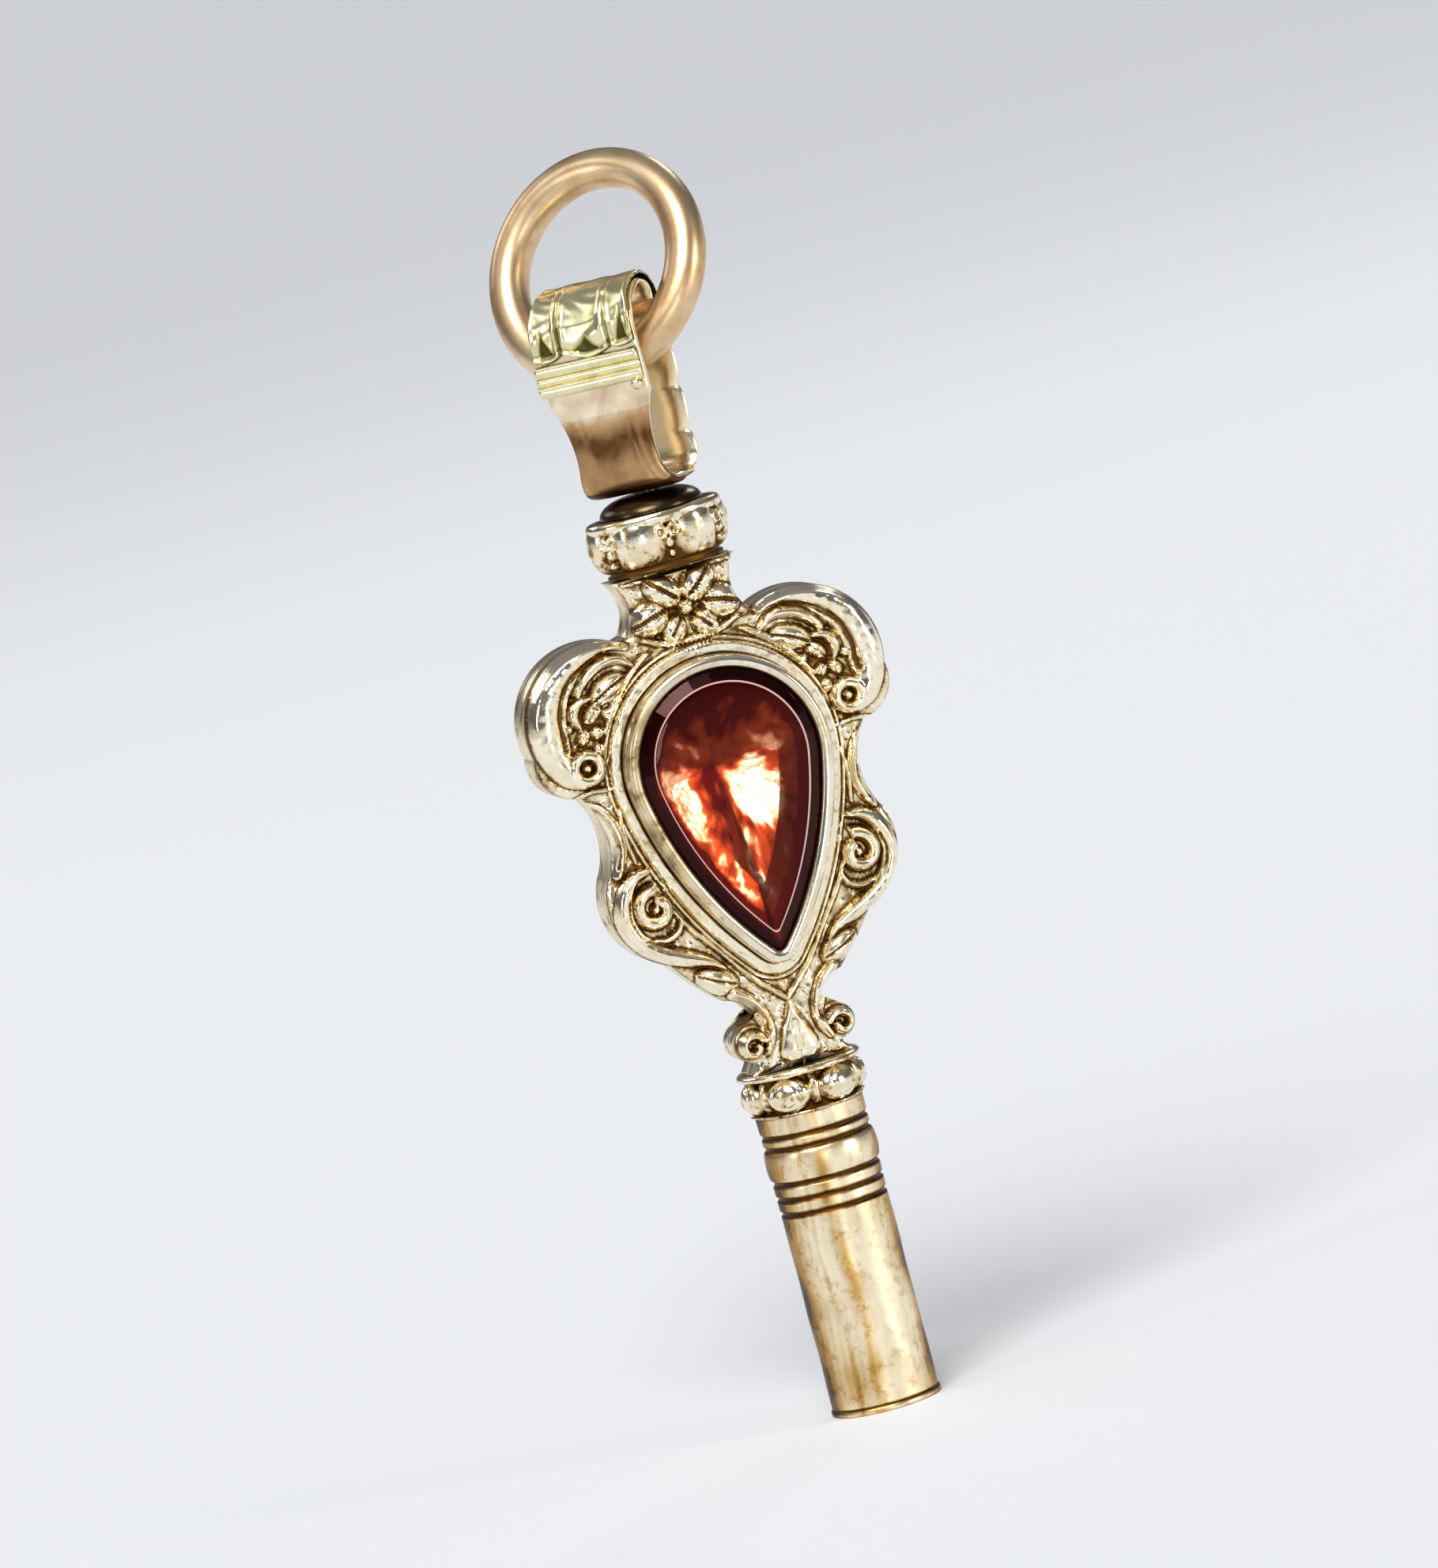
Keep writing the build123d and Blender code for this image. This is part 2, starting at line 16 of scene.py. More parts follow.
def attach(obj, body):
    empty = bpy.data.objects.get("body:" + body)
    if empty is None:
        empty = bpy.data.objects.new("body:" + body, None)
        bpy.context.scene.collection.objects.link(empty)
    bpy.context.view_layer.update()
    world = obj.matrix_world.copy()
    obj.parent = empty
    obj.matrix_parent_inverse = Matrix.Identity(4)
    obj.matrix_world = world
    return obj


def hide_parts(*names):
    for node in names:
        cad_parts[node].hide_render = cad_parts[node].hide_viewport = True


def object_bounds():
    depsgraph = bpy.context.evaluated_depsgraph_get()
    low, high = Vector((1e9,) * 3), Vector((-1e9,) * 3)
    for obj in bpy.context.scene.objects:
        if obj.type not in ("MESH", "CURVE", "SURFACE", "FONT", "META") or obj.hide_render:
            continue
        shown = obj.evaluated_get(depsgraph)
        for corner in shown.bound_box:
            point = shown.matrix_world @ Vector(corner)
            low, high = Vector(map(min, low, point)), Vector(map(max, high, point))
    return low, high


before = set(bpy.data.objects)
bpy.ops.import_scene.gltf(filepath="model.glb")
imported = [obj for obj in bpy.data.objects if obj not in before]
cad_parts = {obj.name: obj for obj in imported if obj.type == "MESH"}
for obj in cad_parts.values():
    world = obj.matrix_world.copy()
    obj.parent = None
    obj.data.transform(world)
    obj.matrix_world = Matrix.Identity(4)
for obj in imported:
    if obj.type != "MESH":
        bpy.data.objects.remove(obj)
cad_low, cad_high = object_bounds()
MM = 0.001
print("pieces in the frame:", sorted(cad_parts))

# %% [markdown]
# ## Camera
# The key leans to the left in the picture and is seen a little from its left and from above,
# through a long lens. The camera rolls, so that the key itself can stay upright in the frame.
# An empty to look at would aim it too, but three unit vectors give its matrix at once, and the
# roll is then a turn of two of them.

# %% Camera
view_azimuth, view_elevation, view_roll = math.radians(-11), math.radians(6), math.radians(14.8)
view_distance = 300.0
view_height = 42.8
centre = (np.array(cad_low) + np.array(cad_high)) / 2 / MM
back = Vector((
    math.sin(view_azimuth) * math.cos(view_elevation),
    -math.cos(view_azimuth) * math.cos(view_elevation),
    math.sin(view_elevation),
))
camera = bpy.data.objects.new("camera", bpy.data.cameras.new("camera"))
bpy.context.scene.collection.objects.link(camera)
level_right = Vector((0, 0, 1)).cross(back).normalized()
level_up = back.cross(level_right)
right = level_right * math.cos(view_roll) - level_up * math.sin(view_roll)
up = level_right * math.sin(view_roll) + level_up * math.cos(view_roll)
camera.matrix_world = Matrix((
    (right.x, up.x, back.x, (centre[0] + back.x * view_distance) * MM),
    (right.y, up.y, back.y, (centre[1] + back.y * view_distance) * MM),
    (right.z, up.z, back.z, (centre[2] + back.z * view_distance) * MM),
    (0, 0, 0, 1),
))
camera.data.sensor_width = 36.0
camera.data.lens = camera.data.sensor_width * view_distance / view_height
camera.data.clip_start, camera.data.clip_end = 0.01, 100.0
bpy.context.scene.camera = camera
print("lens", round(camera.data.lens), "mm, centre", centre.round(2))

# %% [markdown]
# ## Meshes from grids
# Nearly every piece is a surface of two parameters: rows of points, each row as long as the
# next. One function turns such a grid into a mesh, closes it where it should close, and tells
# the frame which body carries it. It hands whole arrays to foreach_set, which is much quicker
# than adding points one by one, and lets bmesh merge seams and turn faces outwards.


# %% Grid to mesh
def grid_faces(rows, columns, wrap_rows, wrap_columns):
    """Corner numbers of the quads between neighbouring rows and columns."""
    row, column = np.meshgrid(np.arange(rows if wrap_rows else rows - 1),
                              np.arange(columns if wrap_columns else columns - 1), indexing="ij")
    row, column = row.ravel(), column.ravel()
    next_row, next_column = (row + 1) % rows, (column + 1) % columns
    return np.stack([row * columns + column, row * columns + next_column,
                     next_row * columns + next_column, next_row * columns + column], 1)


def add_piece(name, grid, body, nodes, material, wrap=(False, True), keep=None,
              colours=None, sharp=180.0, flat=None):
    """A piece from a grid of points in millimetres, rows × columns × 3.

    Neighbouring points are joined by quads, and wrap says whether the last row and the last
    column meet the first. Points that fall together are merged, and the faces are turned
    outwards. keep picks the quads that stay, colours are attributes with a value for each
    point, sharp is the angle past which an edge stays sharp, and the function flat picks the
    faces that stay unsmoothed, from their middles.
    """
    rows, columns = grid.shape[:2]
    faces = grid_faces(rows, columns, *wrap)
    if keep is not None:
        faces = faces[keep.ravel()]
    mesh = bpy.data.meshes.new(name)
    mesh.vertices.add(rows * columns)
    mesh.vertices.foreach_set("co", (grid.reshape(-1, 3) * MM).astype(np.float32).ravel())
    mesh.loops.add(faces.size)
    mesh.loops.foreach_set("vertex_index", faces.astype(np.int32).ravel())
    mesh.polygons.add(len(faces))
    mesh.polygons.foreach_set("loop_start", np.arange(0, faces.size, 4, dtype=np.int32))
    mesh.update(calc_edges=True)
    for key, values in (colours or {}).items():
        layer = mesh.attributes.new(key, "FLOAT", "POINT")
        layer.data.foreach_set("value", values.astype(np.float32).ravel())
    shape = bmesh.new()
    shape.from_mesh(mesh)
    bmesh.ops.remove_doubles(shape, verts=shape.verts, dist=0.0004 * MM)
    bmesh.ops.recalc_face_normals(shape, faces=shape.faces)
    loose = [v for v in shape.verts if not v.link_faces]
    bmesh.ops.delete(shape, geom=loose, context="VERTS")
    open_edges = sum(1 for e in shape.edges if len(e.link_faces) != 2)
    shape.to_mesh(mesh)
    shape.free()
    middles = np.empty(3 * len(mesh.polygons))
    mesh.polygons.foreach_get("center", middles)
    smooth = ~flat(middles.reshape(-1, 3) / MM) if flat else np.ones(len(mesh.polygons), bool)
    mesh.polygons.foreach_set("use_smooth", smooth)
    if sharp < 180.0:
        mesh.set_sharp_from_angle(angle=math.radians(sharp))
    piece = bpy.data.objects.new(name, mesh)
    bpy.context.scene.collection.objects.link(piece)
    mesh.materials.append(material)
    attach(piece, body)
    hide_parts(*nodes)
    size = (grid.reshape(-1, 3).max(0) - grid.reshape(-1, 3).min(0)).round(2)
    print(name, "size", size, "faces", len(mesh.polygons), "open edges", open_edges)
    return piece


print("quads in a closed tube of 4 rows and 6 columns:", len(grid_faces(4, 6, False, True)))

# %% [markdown]
# ## Colours and nodes
# A given colour is an sRGB value, while Blender adds light up in linear values, so each
# hex colour is turned once. A material is a small tree of nodes, and one function adds a node
# with its settings, its values and its links, which keeps the trees short to read.


# %% Colour and node helpers
def linear(text):
    """An sRGB hex colour as linear red, green, blue and alpha."""
    parts = np.array([int(text[i:i + 2], 16) for i in (1, 3, 5)]) / 255
    parts = np.where(parts <= 0.04045, parts / 12.92, ((parts + 0.055) / 1.055) ** 2.4)
    return (*parts, 1.0)


def add(tree, kind, inputs=None, **settings):
    """Adds a node with its settings, its input values, and the links into it."""
    node = tree.nodes.new(kind)
    for key, value in settings.items():
        setattr(node, key, value)
    for key, value in (inputs or {}).items():
        if isinstance(value, bpy.types.NodeSocket):
            tree.links.new(value, node.inputs[key])
        else:
            node.inputs[key].default_value = value
    return node


def per_mm(size):
    """Scale of a pattern whose features are this many millimetres across."""
    return 1 / (size * MM)


def ramp(tree, factor, stops):
    """A colour ramp through (place, hex colour) stops."""
    node = add(tree, "ShaderNodeValToRGB", {"Fac": factor})
    elements = node.color_ramp.elements
    while len(elements) < len(stops):
        elements.new(0.5)
    for element, (place, colour) in zip(elements, stops):
        element.position = place
        element.color = linear(colour)
    return node


print("mid grey #808080 in linear values:", round(float(linear("#808080")[0]), 3))

# %% [markdown]
# ## Worn metal
# A metal has no colour of its own but tints what it mirrors, so a base colour and a roughness
# are all it needs. On an old watch key both follow one thing, the tarnish: rubbed crests are
# pale and glossy, the hollows are brown and dull. So the finish is a function of one level,
# from 0 for bare polish to 1 for full tarnish. Clouds of noise, finer specks and a piece's own
# attribute, which is high in its hollows, are added up to give it; on some pieces that
# attribute also carries painted shade, high, and painted highlights, low. Fine pits from
# casting, striking and handling tilt the surface a little, so that no mirror is perfect.


# %% Worn metal
def worn_metal(name, crest, field, hollow, smooth=0.16, rough=0.5, cloud=1.6,
               cloud_share=0.5, pit=0.09, pit_depth=0.004, speck_share=0.0, tarnish_and_painted_light=True):
    """A worn metal finish between a bright crest colour and a dark hollow colour.

    smooth and rough are the roughness without and with tarnish. cloud and pit are the sizes
    of the tarnish clouds and of the pits in millimetres, pit_depth is the depth of the pits,
    and cloud_share and speck_share say how much clouds and specks add to the tarnish. The
    last argument says whether the piece carries the attribute of tarnish and painted light.
    """
    speck = 0.34
    material = bpy.data.materials.new(name)
    material.use_nodes = True
    tree = material.node_tree
    shader = tree.nodes["Principled BSDF"]
    place = add(tree, "ShaderNodeTexCoord").outputs["Object"]
    clouds = add(tree, "ShaderNodeTexNoise", {
        "Vector": place, "Scale": per_mm(cloud), "Detail": 5.0, "Roughness": 0.6})
    pits = add(tree, "ShaderNodeTexNoise", {
        "Vector": place, "Scale": per_mm(pit), "Detail": 3.0})
    # Most values of a noise lie about its middle, so that stretch is spread out
    share = add(tree, "ShaderNodeMapRange", {
        "Value": clouds.outputs["Fac"], "From Min": 0.38, "From Max": 0.72,
        "To Max": cloud_share})
    level = share.outputs["Result"]
    if speck_share:
        specks = add(tree, "ShaderNodeTexNoise", {
            "Vector": place, "Scale": per_mm(speck), "Detail": 3.0, "Roughness": 0.65})
        # Only the peaks of this noise count, which leaves scattered specks
        spots = add(tree, "ShaderNodeMapRange", {
            "Value": specks.outputs["Fac"], "From Min": 0.52, "From Max": 0.64,
            "To Max": speck_share})
        level = add(tree, "ShaderNodeMath", {0: level, 1: spots.outputs["Result"]},
                    operation="ADD").outputs["Value"]
    # The piece's attribute is high in hollows, and on some pieces also holds painted shade (high)
    # and painted highlights (low)
    if tarnish_and_painted_light:
        hollows_and_painted_light = add(tree, "ShaderNodeAttribute", attribute_name="tarnish_and_painted_light").outputs["Fac"]
        level = add(tree, "ShaderNodeMath", {0: hollows_and_painted_light, 1: level},
                    operation="ADD").outputs["Value"]
    tint = ramp(tree, level, [(0.05, crest), (0.45, field), (0.95, hollow)])
    gloss = add(tree, "ShaderNodeMapRange", {
        "Value": level, "To Min": smooth, "To Max": rough})
    dent = add(tree, "ShaderNodeBump", {
        "Height": pits.outputs["Fac"], "Strength": 0.6, "Distance": pit_depth * MM})
    tree.links.new(tint.outputs["Color"], shader.inputs["Base Color"])
    tree.links.new(gloss.outputs["Result"], shader.inputs["Roughness"])
    tree.links.new(dent.outputs["Normal"], shader.inputs["Normal"])
    shader.inputs["Metallic"].default_value = 1.0
    print("finish", name, "roughness", smooth, "to", rough, "clouds of", cloud, "mm")
    return material


# %% [markdown]
# ## The cartouche and its stone, as lines
# The body is a shield with a scrolled outline. Its right half is a run of arcs, each through
# three points, given as shares of the half width and of the height, as in the solid model.
# The stone is a pear: a round head, two long side arcs, and a rounded tip. Lines like these
# could be drawn as curves by hand, but worked out from a few radii they can be made larger or
# smaller all round, and that gives the seat, the rim, the facets and the frame at once.

# %% Sizes of the body
body_foot, body_top, half_width, rim = 9.75, 23.75, 5.15, 0.9
stone_centre, stone_half, side_radius, tip_round = 18.402, 2.621, 10.2, 0.3
shoulder = math.radians(10)
side_reach = side_radius - stone_half
outline_shares = np.array([
    (0.340, 1.000), (0.285, 0.935), (0.330, 0.893), (0.375, 0.888), (0.750, 0.890),
    (0.978, 0.712), (0.940, 0.645), (0.790, 0.617), (0.705, 0.528), (0.767, 0.443),
    (0.785, 0.345), (0.555, 0.255), (0.470, 0.215), (0.330, 0.160), (0.195, 0.125),
    (0.165, 0.086), (0.335, 0.060), (0.240, 0.026), (0.285, 0.000),
])
# Arcs by the numbers of their three points; two numbers are a straight edge
outline_runs = [(0, 1, 2), (2, 3), (3, 4, 5), (5, 6, 7), (7, 8, 9), (9, 10, 11), (11, 12, 13),
                (13, 14, 15), (15, 16, 17), (17, 18)]
# Partner of each run's end on the inner line: a share of the way down the pear's side, or,
# as a negative number, a height on the middle line
run_partners = [0.0, 0.07, 0.12, 0.40, 0.46, 0.62, 0.82, 1.0, -10.8, -10.3, -9.95]
outline_step = 0.05


def arc_through(a, b, c):
    """Points about an outline step apart on the circle arc from a through b to c.

    The arc's middle is where the perpendicular bisectors of ab and bc cross.
    """
    (ax, az), (bx, bz), (cx, cz) = a, b, c
    d = 2 * (ax * (bz - cz) + bx * (cz - az) + cx * (az - bz))
    squares = [p[0] ** 2 + p[1] ** 2 for p in (a, b, c)]
    ox = (squares[0] * (bz - cz) + squares[1] * (cz - az) + squares[2] * (az - bz)) / d
    oz = (squares[0] * (cx - bx) + squares[1] * (ax - cx) + squares[2] * (bx - ax)) / d
    radius = math.hypot(ax - ox, az - oz)
    first, middle, last = [math.atan2(p[1] - oz, p[0] - ox) for p in (a, b, c)]
    turn = math.remainder(middle - first, 2 * math.pi) + math.remainder(last - middle, 2 * math.pi)
    angles = first + turn * np.linspace(0, 1, max(4, int(abs(turn) * radius / outline_step)))
    return np.stack([ox + radius * np.cos(angles), oz + radius * np.sin(angles)], 1)


def pear_line(inset, head=46, side=60, tip=10):
    """Right half of the pear, smaller all round by the inset, from its top to its tip.

    A head arc about the centre, a side arc about a far point, and a fillet at the tip.
    """
    big, small = side_radius - inset, max(tip_round - inset, 0.12)
    across = side_reach * math.cos(shoulder)
    high = stone_centre + side_reach * math.sin(shoulder)
    fillet_z = high - math.sqrt((big - small) ** 2 - across ** 2)
    last = math.atan2(high - fillet_z, across)
    a = np.linspace(math.pi / 2, -shoulder, head)
    b = np.linspace(shoulder, last, side)[1:]
    c = np.linspace(-last, -math.pi / 2, tip)[1:]
    top = np.stack([np.cos(a), np.sin(a)], 1) * (stone_half - inset) + (0, stone_centre)
    flank = np.stack([np.cos(b) * big - across, high - np.sin(b) * big], 1)
    foot = np.stack([np.cos(c), np.sin(c)], 1) * small + (0, fillet_z)
    return np.concatenate([top, flank, foot])


def lengths(line):
    """Distance along a line of points, from its start to each."""
    return np.concatenate([[0], np.cumsum(np.hypot(*np.diff(line, axis=0).T))])


def at(line, share):
    """Points on a line at shares of its length."""
    reach = lengths(line)
    share = np.asarray(share) * reach[-1]
    return np.stack([np.interp(share, reach, line[:, i]) for i in range(line.shape[1])], -1)


print("pear", (lengths(pear_line(0.0))[-1] * 2).round(1), "mm round,",
      np.ptp(pear_line(0.0)[:, 1]).round(2), "mm high")


# %% The body's two edge lines
def body_lines(seat):
    """Outline of the right half and its partner on the inner line, point by point.

    The inner line runs down the middle, round the pear seat, and down the middle again. Each
    run of the outline has a stretch of the inner line beside it, with as many points.
    """
    points = outline_shares * (half_width, body_top - body_foot) + (0, body_foot)
    tip_z = seat[-1, 1]
    run = [np.array([(0, body_top), points[0]])]
    run += [np.array([points[n] for n in r]) if len(r) == 2 else arc_through(*points[list(r)])
            for r in outline_runs]
    run += [np.array([points[18], (0, body_foot)])]
    ends = [body_top, body_top - 0.2, *run_partners, body_foot]
    spots = [("pear", value) if 0 <= value <= 1 else ("spine", abs(value)) for value in ends]
    outer, inner = [], []
    for part, begin, end in zip(run, spots, spots[1:]):
        count = max(4, int(lengths(part)[-1] / outline_step))
        t = np.linspace(0, 1, count, endpoint=False)
        outer.append(at(part, t))
        if begin[0] == end[0] == "pear":
            inner.append(at(seat, begin[1] + (end[1] - begin[1]) * t))
        elif begin[0] == end[0]:
            z = begin[1] + (end[1] - begin[1]) * t
            inner.append(np.stack([0 * z, z], 1))
        elif begin[0] == "spine":
            path = np.concatenate([[(0, begin[1])], at(seat, np.linspace(0, end[1], 20))])
            inner.append(at(path, t))
        else:
            inner.append(at(np.array([(0, tip_z), (0, end[1])]), t))
    outer.append(np.array([(0, body_foot)]))
    inner.append(np.array([(0, body_foot)]))
    return np.concatenate(outer), np.concatenate(inner)


seat_width = 0.27
bezel_seat = pear_line(-seat_width)
outer_line, inner_line = body_lines(bezel_seat)
print("outline points", len(outer_line), "length", lengths(outer_line)[-1].round(1), "mm")

# %% [markdown]
# ## The stamped relief
# The real shells are thin sheet struck in a die: polished scrolls and bands stand up from a
# ground that keeps its tarnish. Sculpting would do, and so would a height picture, but here
# each form is a height in millimetres over the plane of the face, worked out for all points
# at once, and the highest form wins at each point, as one form in a die cuts over another.
# Every form has a round top, for a die is cut with round tools and handling rounds the rest.


# %% Relief forms
def smooth_line(points, count=60):
    """A smooth line through a few points, as Catmull-Rom curves between them."""
    p = np.array(points, float)
    p = np.concatenate([[2 * p[0] - p[1]], p, [2 * p[-1] - p[-2]]])
    t = np.linspace(0, len(points) - 1, count)
    i = np.minimum(t.astype(int), len(points) - 2)
    f = (t - i)[:, None]
    a, b, c, d = p[i], p[i + 1], p[i + 2], p[i + 3]
    return 0.5 * (2 * b + (c - a) * f + (2 * a - 5 * b + 4 * c - d) * f ** 2
                  + (3 * b - a - 3 * c + d) * f ** 3)


def round_top(distance):
    """A round profile: 1 in the middle, falling as a circle does to 0 at distance 1."""
    return np.sqrt(np.clip(1 - distance ** 2, 0, 1))


def band(x, z, points, height, count=60):
    """A raised band along (x, z, half width) points, round across."""
    line = smooth_line(points, count)
    nearest = np.full(x.shape, 9.0)
    for px, pz, half in line:
        np.minimum(nearest, np.hypot(x - px, z - pz) / half, out=nearest)
    return height * round_top(nearest)


def dome(x, z, centre, radii, height, turn=0.0):
    """A round-topped bump on an ellipse, turned by an angle in degrees."""
    c, s = math.cos(math.radians(turn)), math.sin(math.radians(turn))
    dx, dz = x - centre[0], z - centre[1]
    return height * round_top(np.hypot((dx * c + dz * s) / radii[0], (dz * c - dx * s) / radii[1]))


def eyelet(x, z, centre, radius, half, height):
    """A raised ring about a centre."""
    return height * round_top((np.hypot(x - centre[0], z - centre[1]) - radius) / half)


def curl(x, z, centre, radius, half, height, start):
    """A raised spiral: in one turn from the start angle it grows to its full radius."""
    dx, dz = x - centre[0], z - centre[1]
    turn = np.mod(np.arctan2(dz, dx) - math.radians(start), 2 * math.pi) / (2 * math.pi)
    return height * round_top((np.hypot(dx, dz) - radius * (0.4 + 0.6 * turn)) / half)


def groove(x, z, points, half, depth):
    """Depth of a chased line through (x, z) points, round at its bottom."""
    return band(x, z, [(px, pz, half) for px, pz in points], depth)


print("a dome of height 0.5 half way out:",
      dome(np.array([0.5]), np.array([0.0]), (0, 0), (1, 1), 0.5).round(3))


# %% Distance to a line
def nearest_distance(points, line, chunk=4000):
    """Distance from each point to the nearest point of a line."""
    best = np.empty(len(points))
    for start in range(0, len(points), chunk):
        part = points[start:start + chunk]
        gap = np.hypot(part[:, None, 0] - line[None, :, 0], part[:, None, 1] - line[None, :, 1])
        best[start:start + chunk] = gap.min(1)
    return best


print("from the stone's middle to its edge:",
      nearest_distance(np.array([(0, stone_centre)]), pear_line(0.0)).round(3), "mm")


# %% Scroll round the shoulder
def shoulder_scroll(x, z):
    """The broad scroll with a chased line along it, and the ring that it curls into."""
    scroll = band(x, z, [(1.9, 22.05, 0.1), (2.35, 22.28, 0.22), (2.95, 22.24, 0.36),
                         (3.65, 21.9, 0.46), (4.25, 21.22, 0.52), (4.5, 20.4, 0.54),
                         (4.5, 19.75, 0.48), (4.3, 19.15, 0.36), (3.95, 18.8, 0.2)], 0.5)
    chased = groove(x, z, [(2.6, 22.05), (3.3, 21.8), (3.9, 21.3), (4.16, 20.6), (4.2, 19.8)],
                    0.1, 0.17)
    end = (3.75, 19.15)
    return np.maximum.reduce([
        scroll - chased,
        eyelet(x, z, end, 0.36, 0.17, 0.52),
        dome(x, z, end, (0.15, 0.15), 0.4),
    ])


# %% Leaf and seeds inside the scroll
def leaf_and_seeds(x, z):
    """A curled leaf, its arcs and its seeds, and the vein between them and the setting."""
    return np.maximum.reduce([
        dome(x, z, (2.62, 21.1), (0.62, 0.36), 0.44, -24)
        - groove(x, z, [(2.15, 21.28), (2.6, 21.12), (3.05, 20.86)], 0.05, 0.16),
        band(x, z, [(1.85, 21.55, 0.08), (2.2, 21.8, 0.15), (2.75, 21.78, 0.17),
                    (3.22, 21.5, 0.16), (3.5, 21.12, 0.08)], 0.38),
        band(x, z, [(3.25, 20.98, 0.08), (3.56, 20.9, 0.14), (3.76, 20.6, 0.16),
                    (3.66, 20.28, 0.08)], 0.36),
        dome(x, z, (3.22, 20.56), (0.33, 0.21), 0.4, -48)
        - groove(x, z, [(3.05, 20.75), (3.4, 20.36)], 0.04, 0.12),
        dome(x, z, (3.62, 19.98), (0.26, 0.18), 0.36, -60),
        dome(x, z, (3.22, 20.02), (0.19, 0.2), 0.32),
        dome(x, z, (2.78, 20.42), (0.16, 0.2), 0.26, -50),
        dome(x, z, (3.97, 20.3), (0.12, 0.16), 0.28),
        dome(x, z, (3.28, 19.55), (0.17, 0.22), 0.3),
        dome(x, z, (3.08, 19.15), (0.1, 0.18), 0.22, 12),
        band(x, z, [(1.35, 21.72, 0.07), (1.95, 21.3, 0.1), (2.55, 20.66, 0.1),
                    (3.02, 19.95, 0.05)], 0.28),
    ])


# %% Waist
def waist(x, z):
    """A fillet across the top of the waist, the grooved waist band, and a thin line by it."""
    side_band = band(x, z, [(4.1, 18.2, 0.1), (3.74, 17.92, 0.19), (3.5, 17.45, 0.22),
                            (3.42, 16.95, 0.22), (3.52, 16.45, 0.19), (3.7, 16.1, 0.12)], 0.34)
    chased = groove(x, z, [(3.95, 18.1), (3.68, 17.8), (3.5, 17.3), (3.46, 16.8),
                           (3.62, 16.3)], 0.05, 0.14)
    return np.maximum.reduce([
        band(x, z, [(3.25, 18.42, 0.06), (3.75, 18.5, 0.08), (4.2, 18.4, 0.05)], 0.22),
        side_band - chased,
        band(x, z, [(3.1, 18.1, 0.05), (3.22, 17.2, 0.07), (3.1, 16.3, 0.05)], 0.2),
    ])


# %% Volute
def volute(x, z):
    """An outer band, the curl inside it with its eye, and the small lines about them."""
    outer_band = band(x, z, [(2.9, 16.02, 0.1), (3.3, 15.92, 0.19), (3.66, 15.5, 0.24),
                             (3.8, 14.85, 0.27), (3.6, 14.22, 0.28), (3.08, 13.75, 0.27),
                             (2.42, 13.42, 0.24), (1.85, 13.18, 0.15), (1.5, 12.9, 0.06)], 0.48)
    chased = groove(x, z, [(3.6, 15.3), (3.66, 14.8), (3.45, 14.28), (3.0, 13.95),
                           (2.4, 13.62)], 0.045, 0.1)
    eye = (2.92, 14.95)
    return np.maximum.reduce([
        outer_band - chased,
        curl(x, z, eye, 0.54, 0.19, 0.5, 100),
        dome(x, z, eye, (0.13, 0.13), 0.47),
        band(x, z, [(2.3, 14.5, 0.05), (2.45, 14.2, 0.09), (2.8, 14.05, 0.1),
                    (3.12, 14.12, 0.05)], 0.3),
        dome(x, z, (2.52, 15.45), (0.1, 0.18), 0.24, -20),
        band(x, z, [(2.55, 14.95, 0.05), (2.1, 14.15, 0.08), (1.5, 13.35, 0.07),
                    (1.0, 12.6, 0.05)], 0.24),
    ])


# %% Foot
def foot_forms(x, z):
    """A leaf under the volute, the band down to the foot's curl, a tongue and a V over it."""
    tongue = band(x, z, [(0, 11.5, 0.08), (0, 11.2, 0.18), (0, 10.8, 0.36), (0, 10.2, 0.58)], 0.28)
    return np.maximum.reduce([
        dome(x, z, (1.76, 12.6), (0.62, 0.4), 0.46, 28)
        - groove(x, z, [(1.3, 12.4), (1.8, 12.62), (2.25, 12.85)], 0.04, 0.1),
        band(x, z, [(1.42, 12.15, 0.2), (1.02, 11.75, 0.22), (0.76, 11.2, 0.2),
                    (0.74, 10.75, 0.17), (0.9, 10.35, 0.1)], 0.42),
        curl(x, z, (1.28, 10.58), 0.36, 0.13, 0.46, 170),
        tongue - groove(x, z, [(0, 10.95), (0, 10.2)], 0.12, 0.1),
        band(x, z, [(1.25, 13.0, 0.05), (0.75, 12.35, 0.08), (0.0, 11.62, 0.08)], 0.28),
    ])


# %% Frame of the setting
def setting_frame(x, z):
    """A flat frame round the setting, with a bead line beside it except over its head."""
    frame_line, flat_half, bead_off, head_radius = pear_line(-0.41), 0.1, 0.27, 3.15
    around = nearest_distance(np.stack([x.ravel(), z.ravel()], 1), frame_line).reshape(x.shape)
    below_head = np.hypot(x, z - stone_centre) > head_radius
    return np.maximum(0.3 * round_top(np.clip(around - flat_half, 0, None) / 0.09),
                      0.15 * round_top((around - bead_off) / 0.06) * below_head)


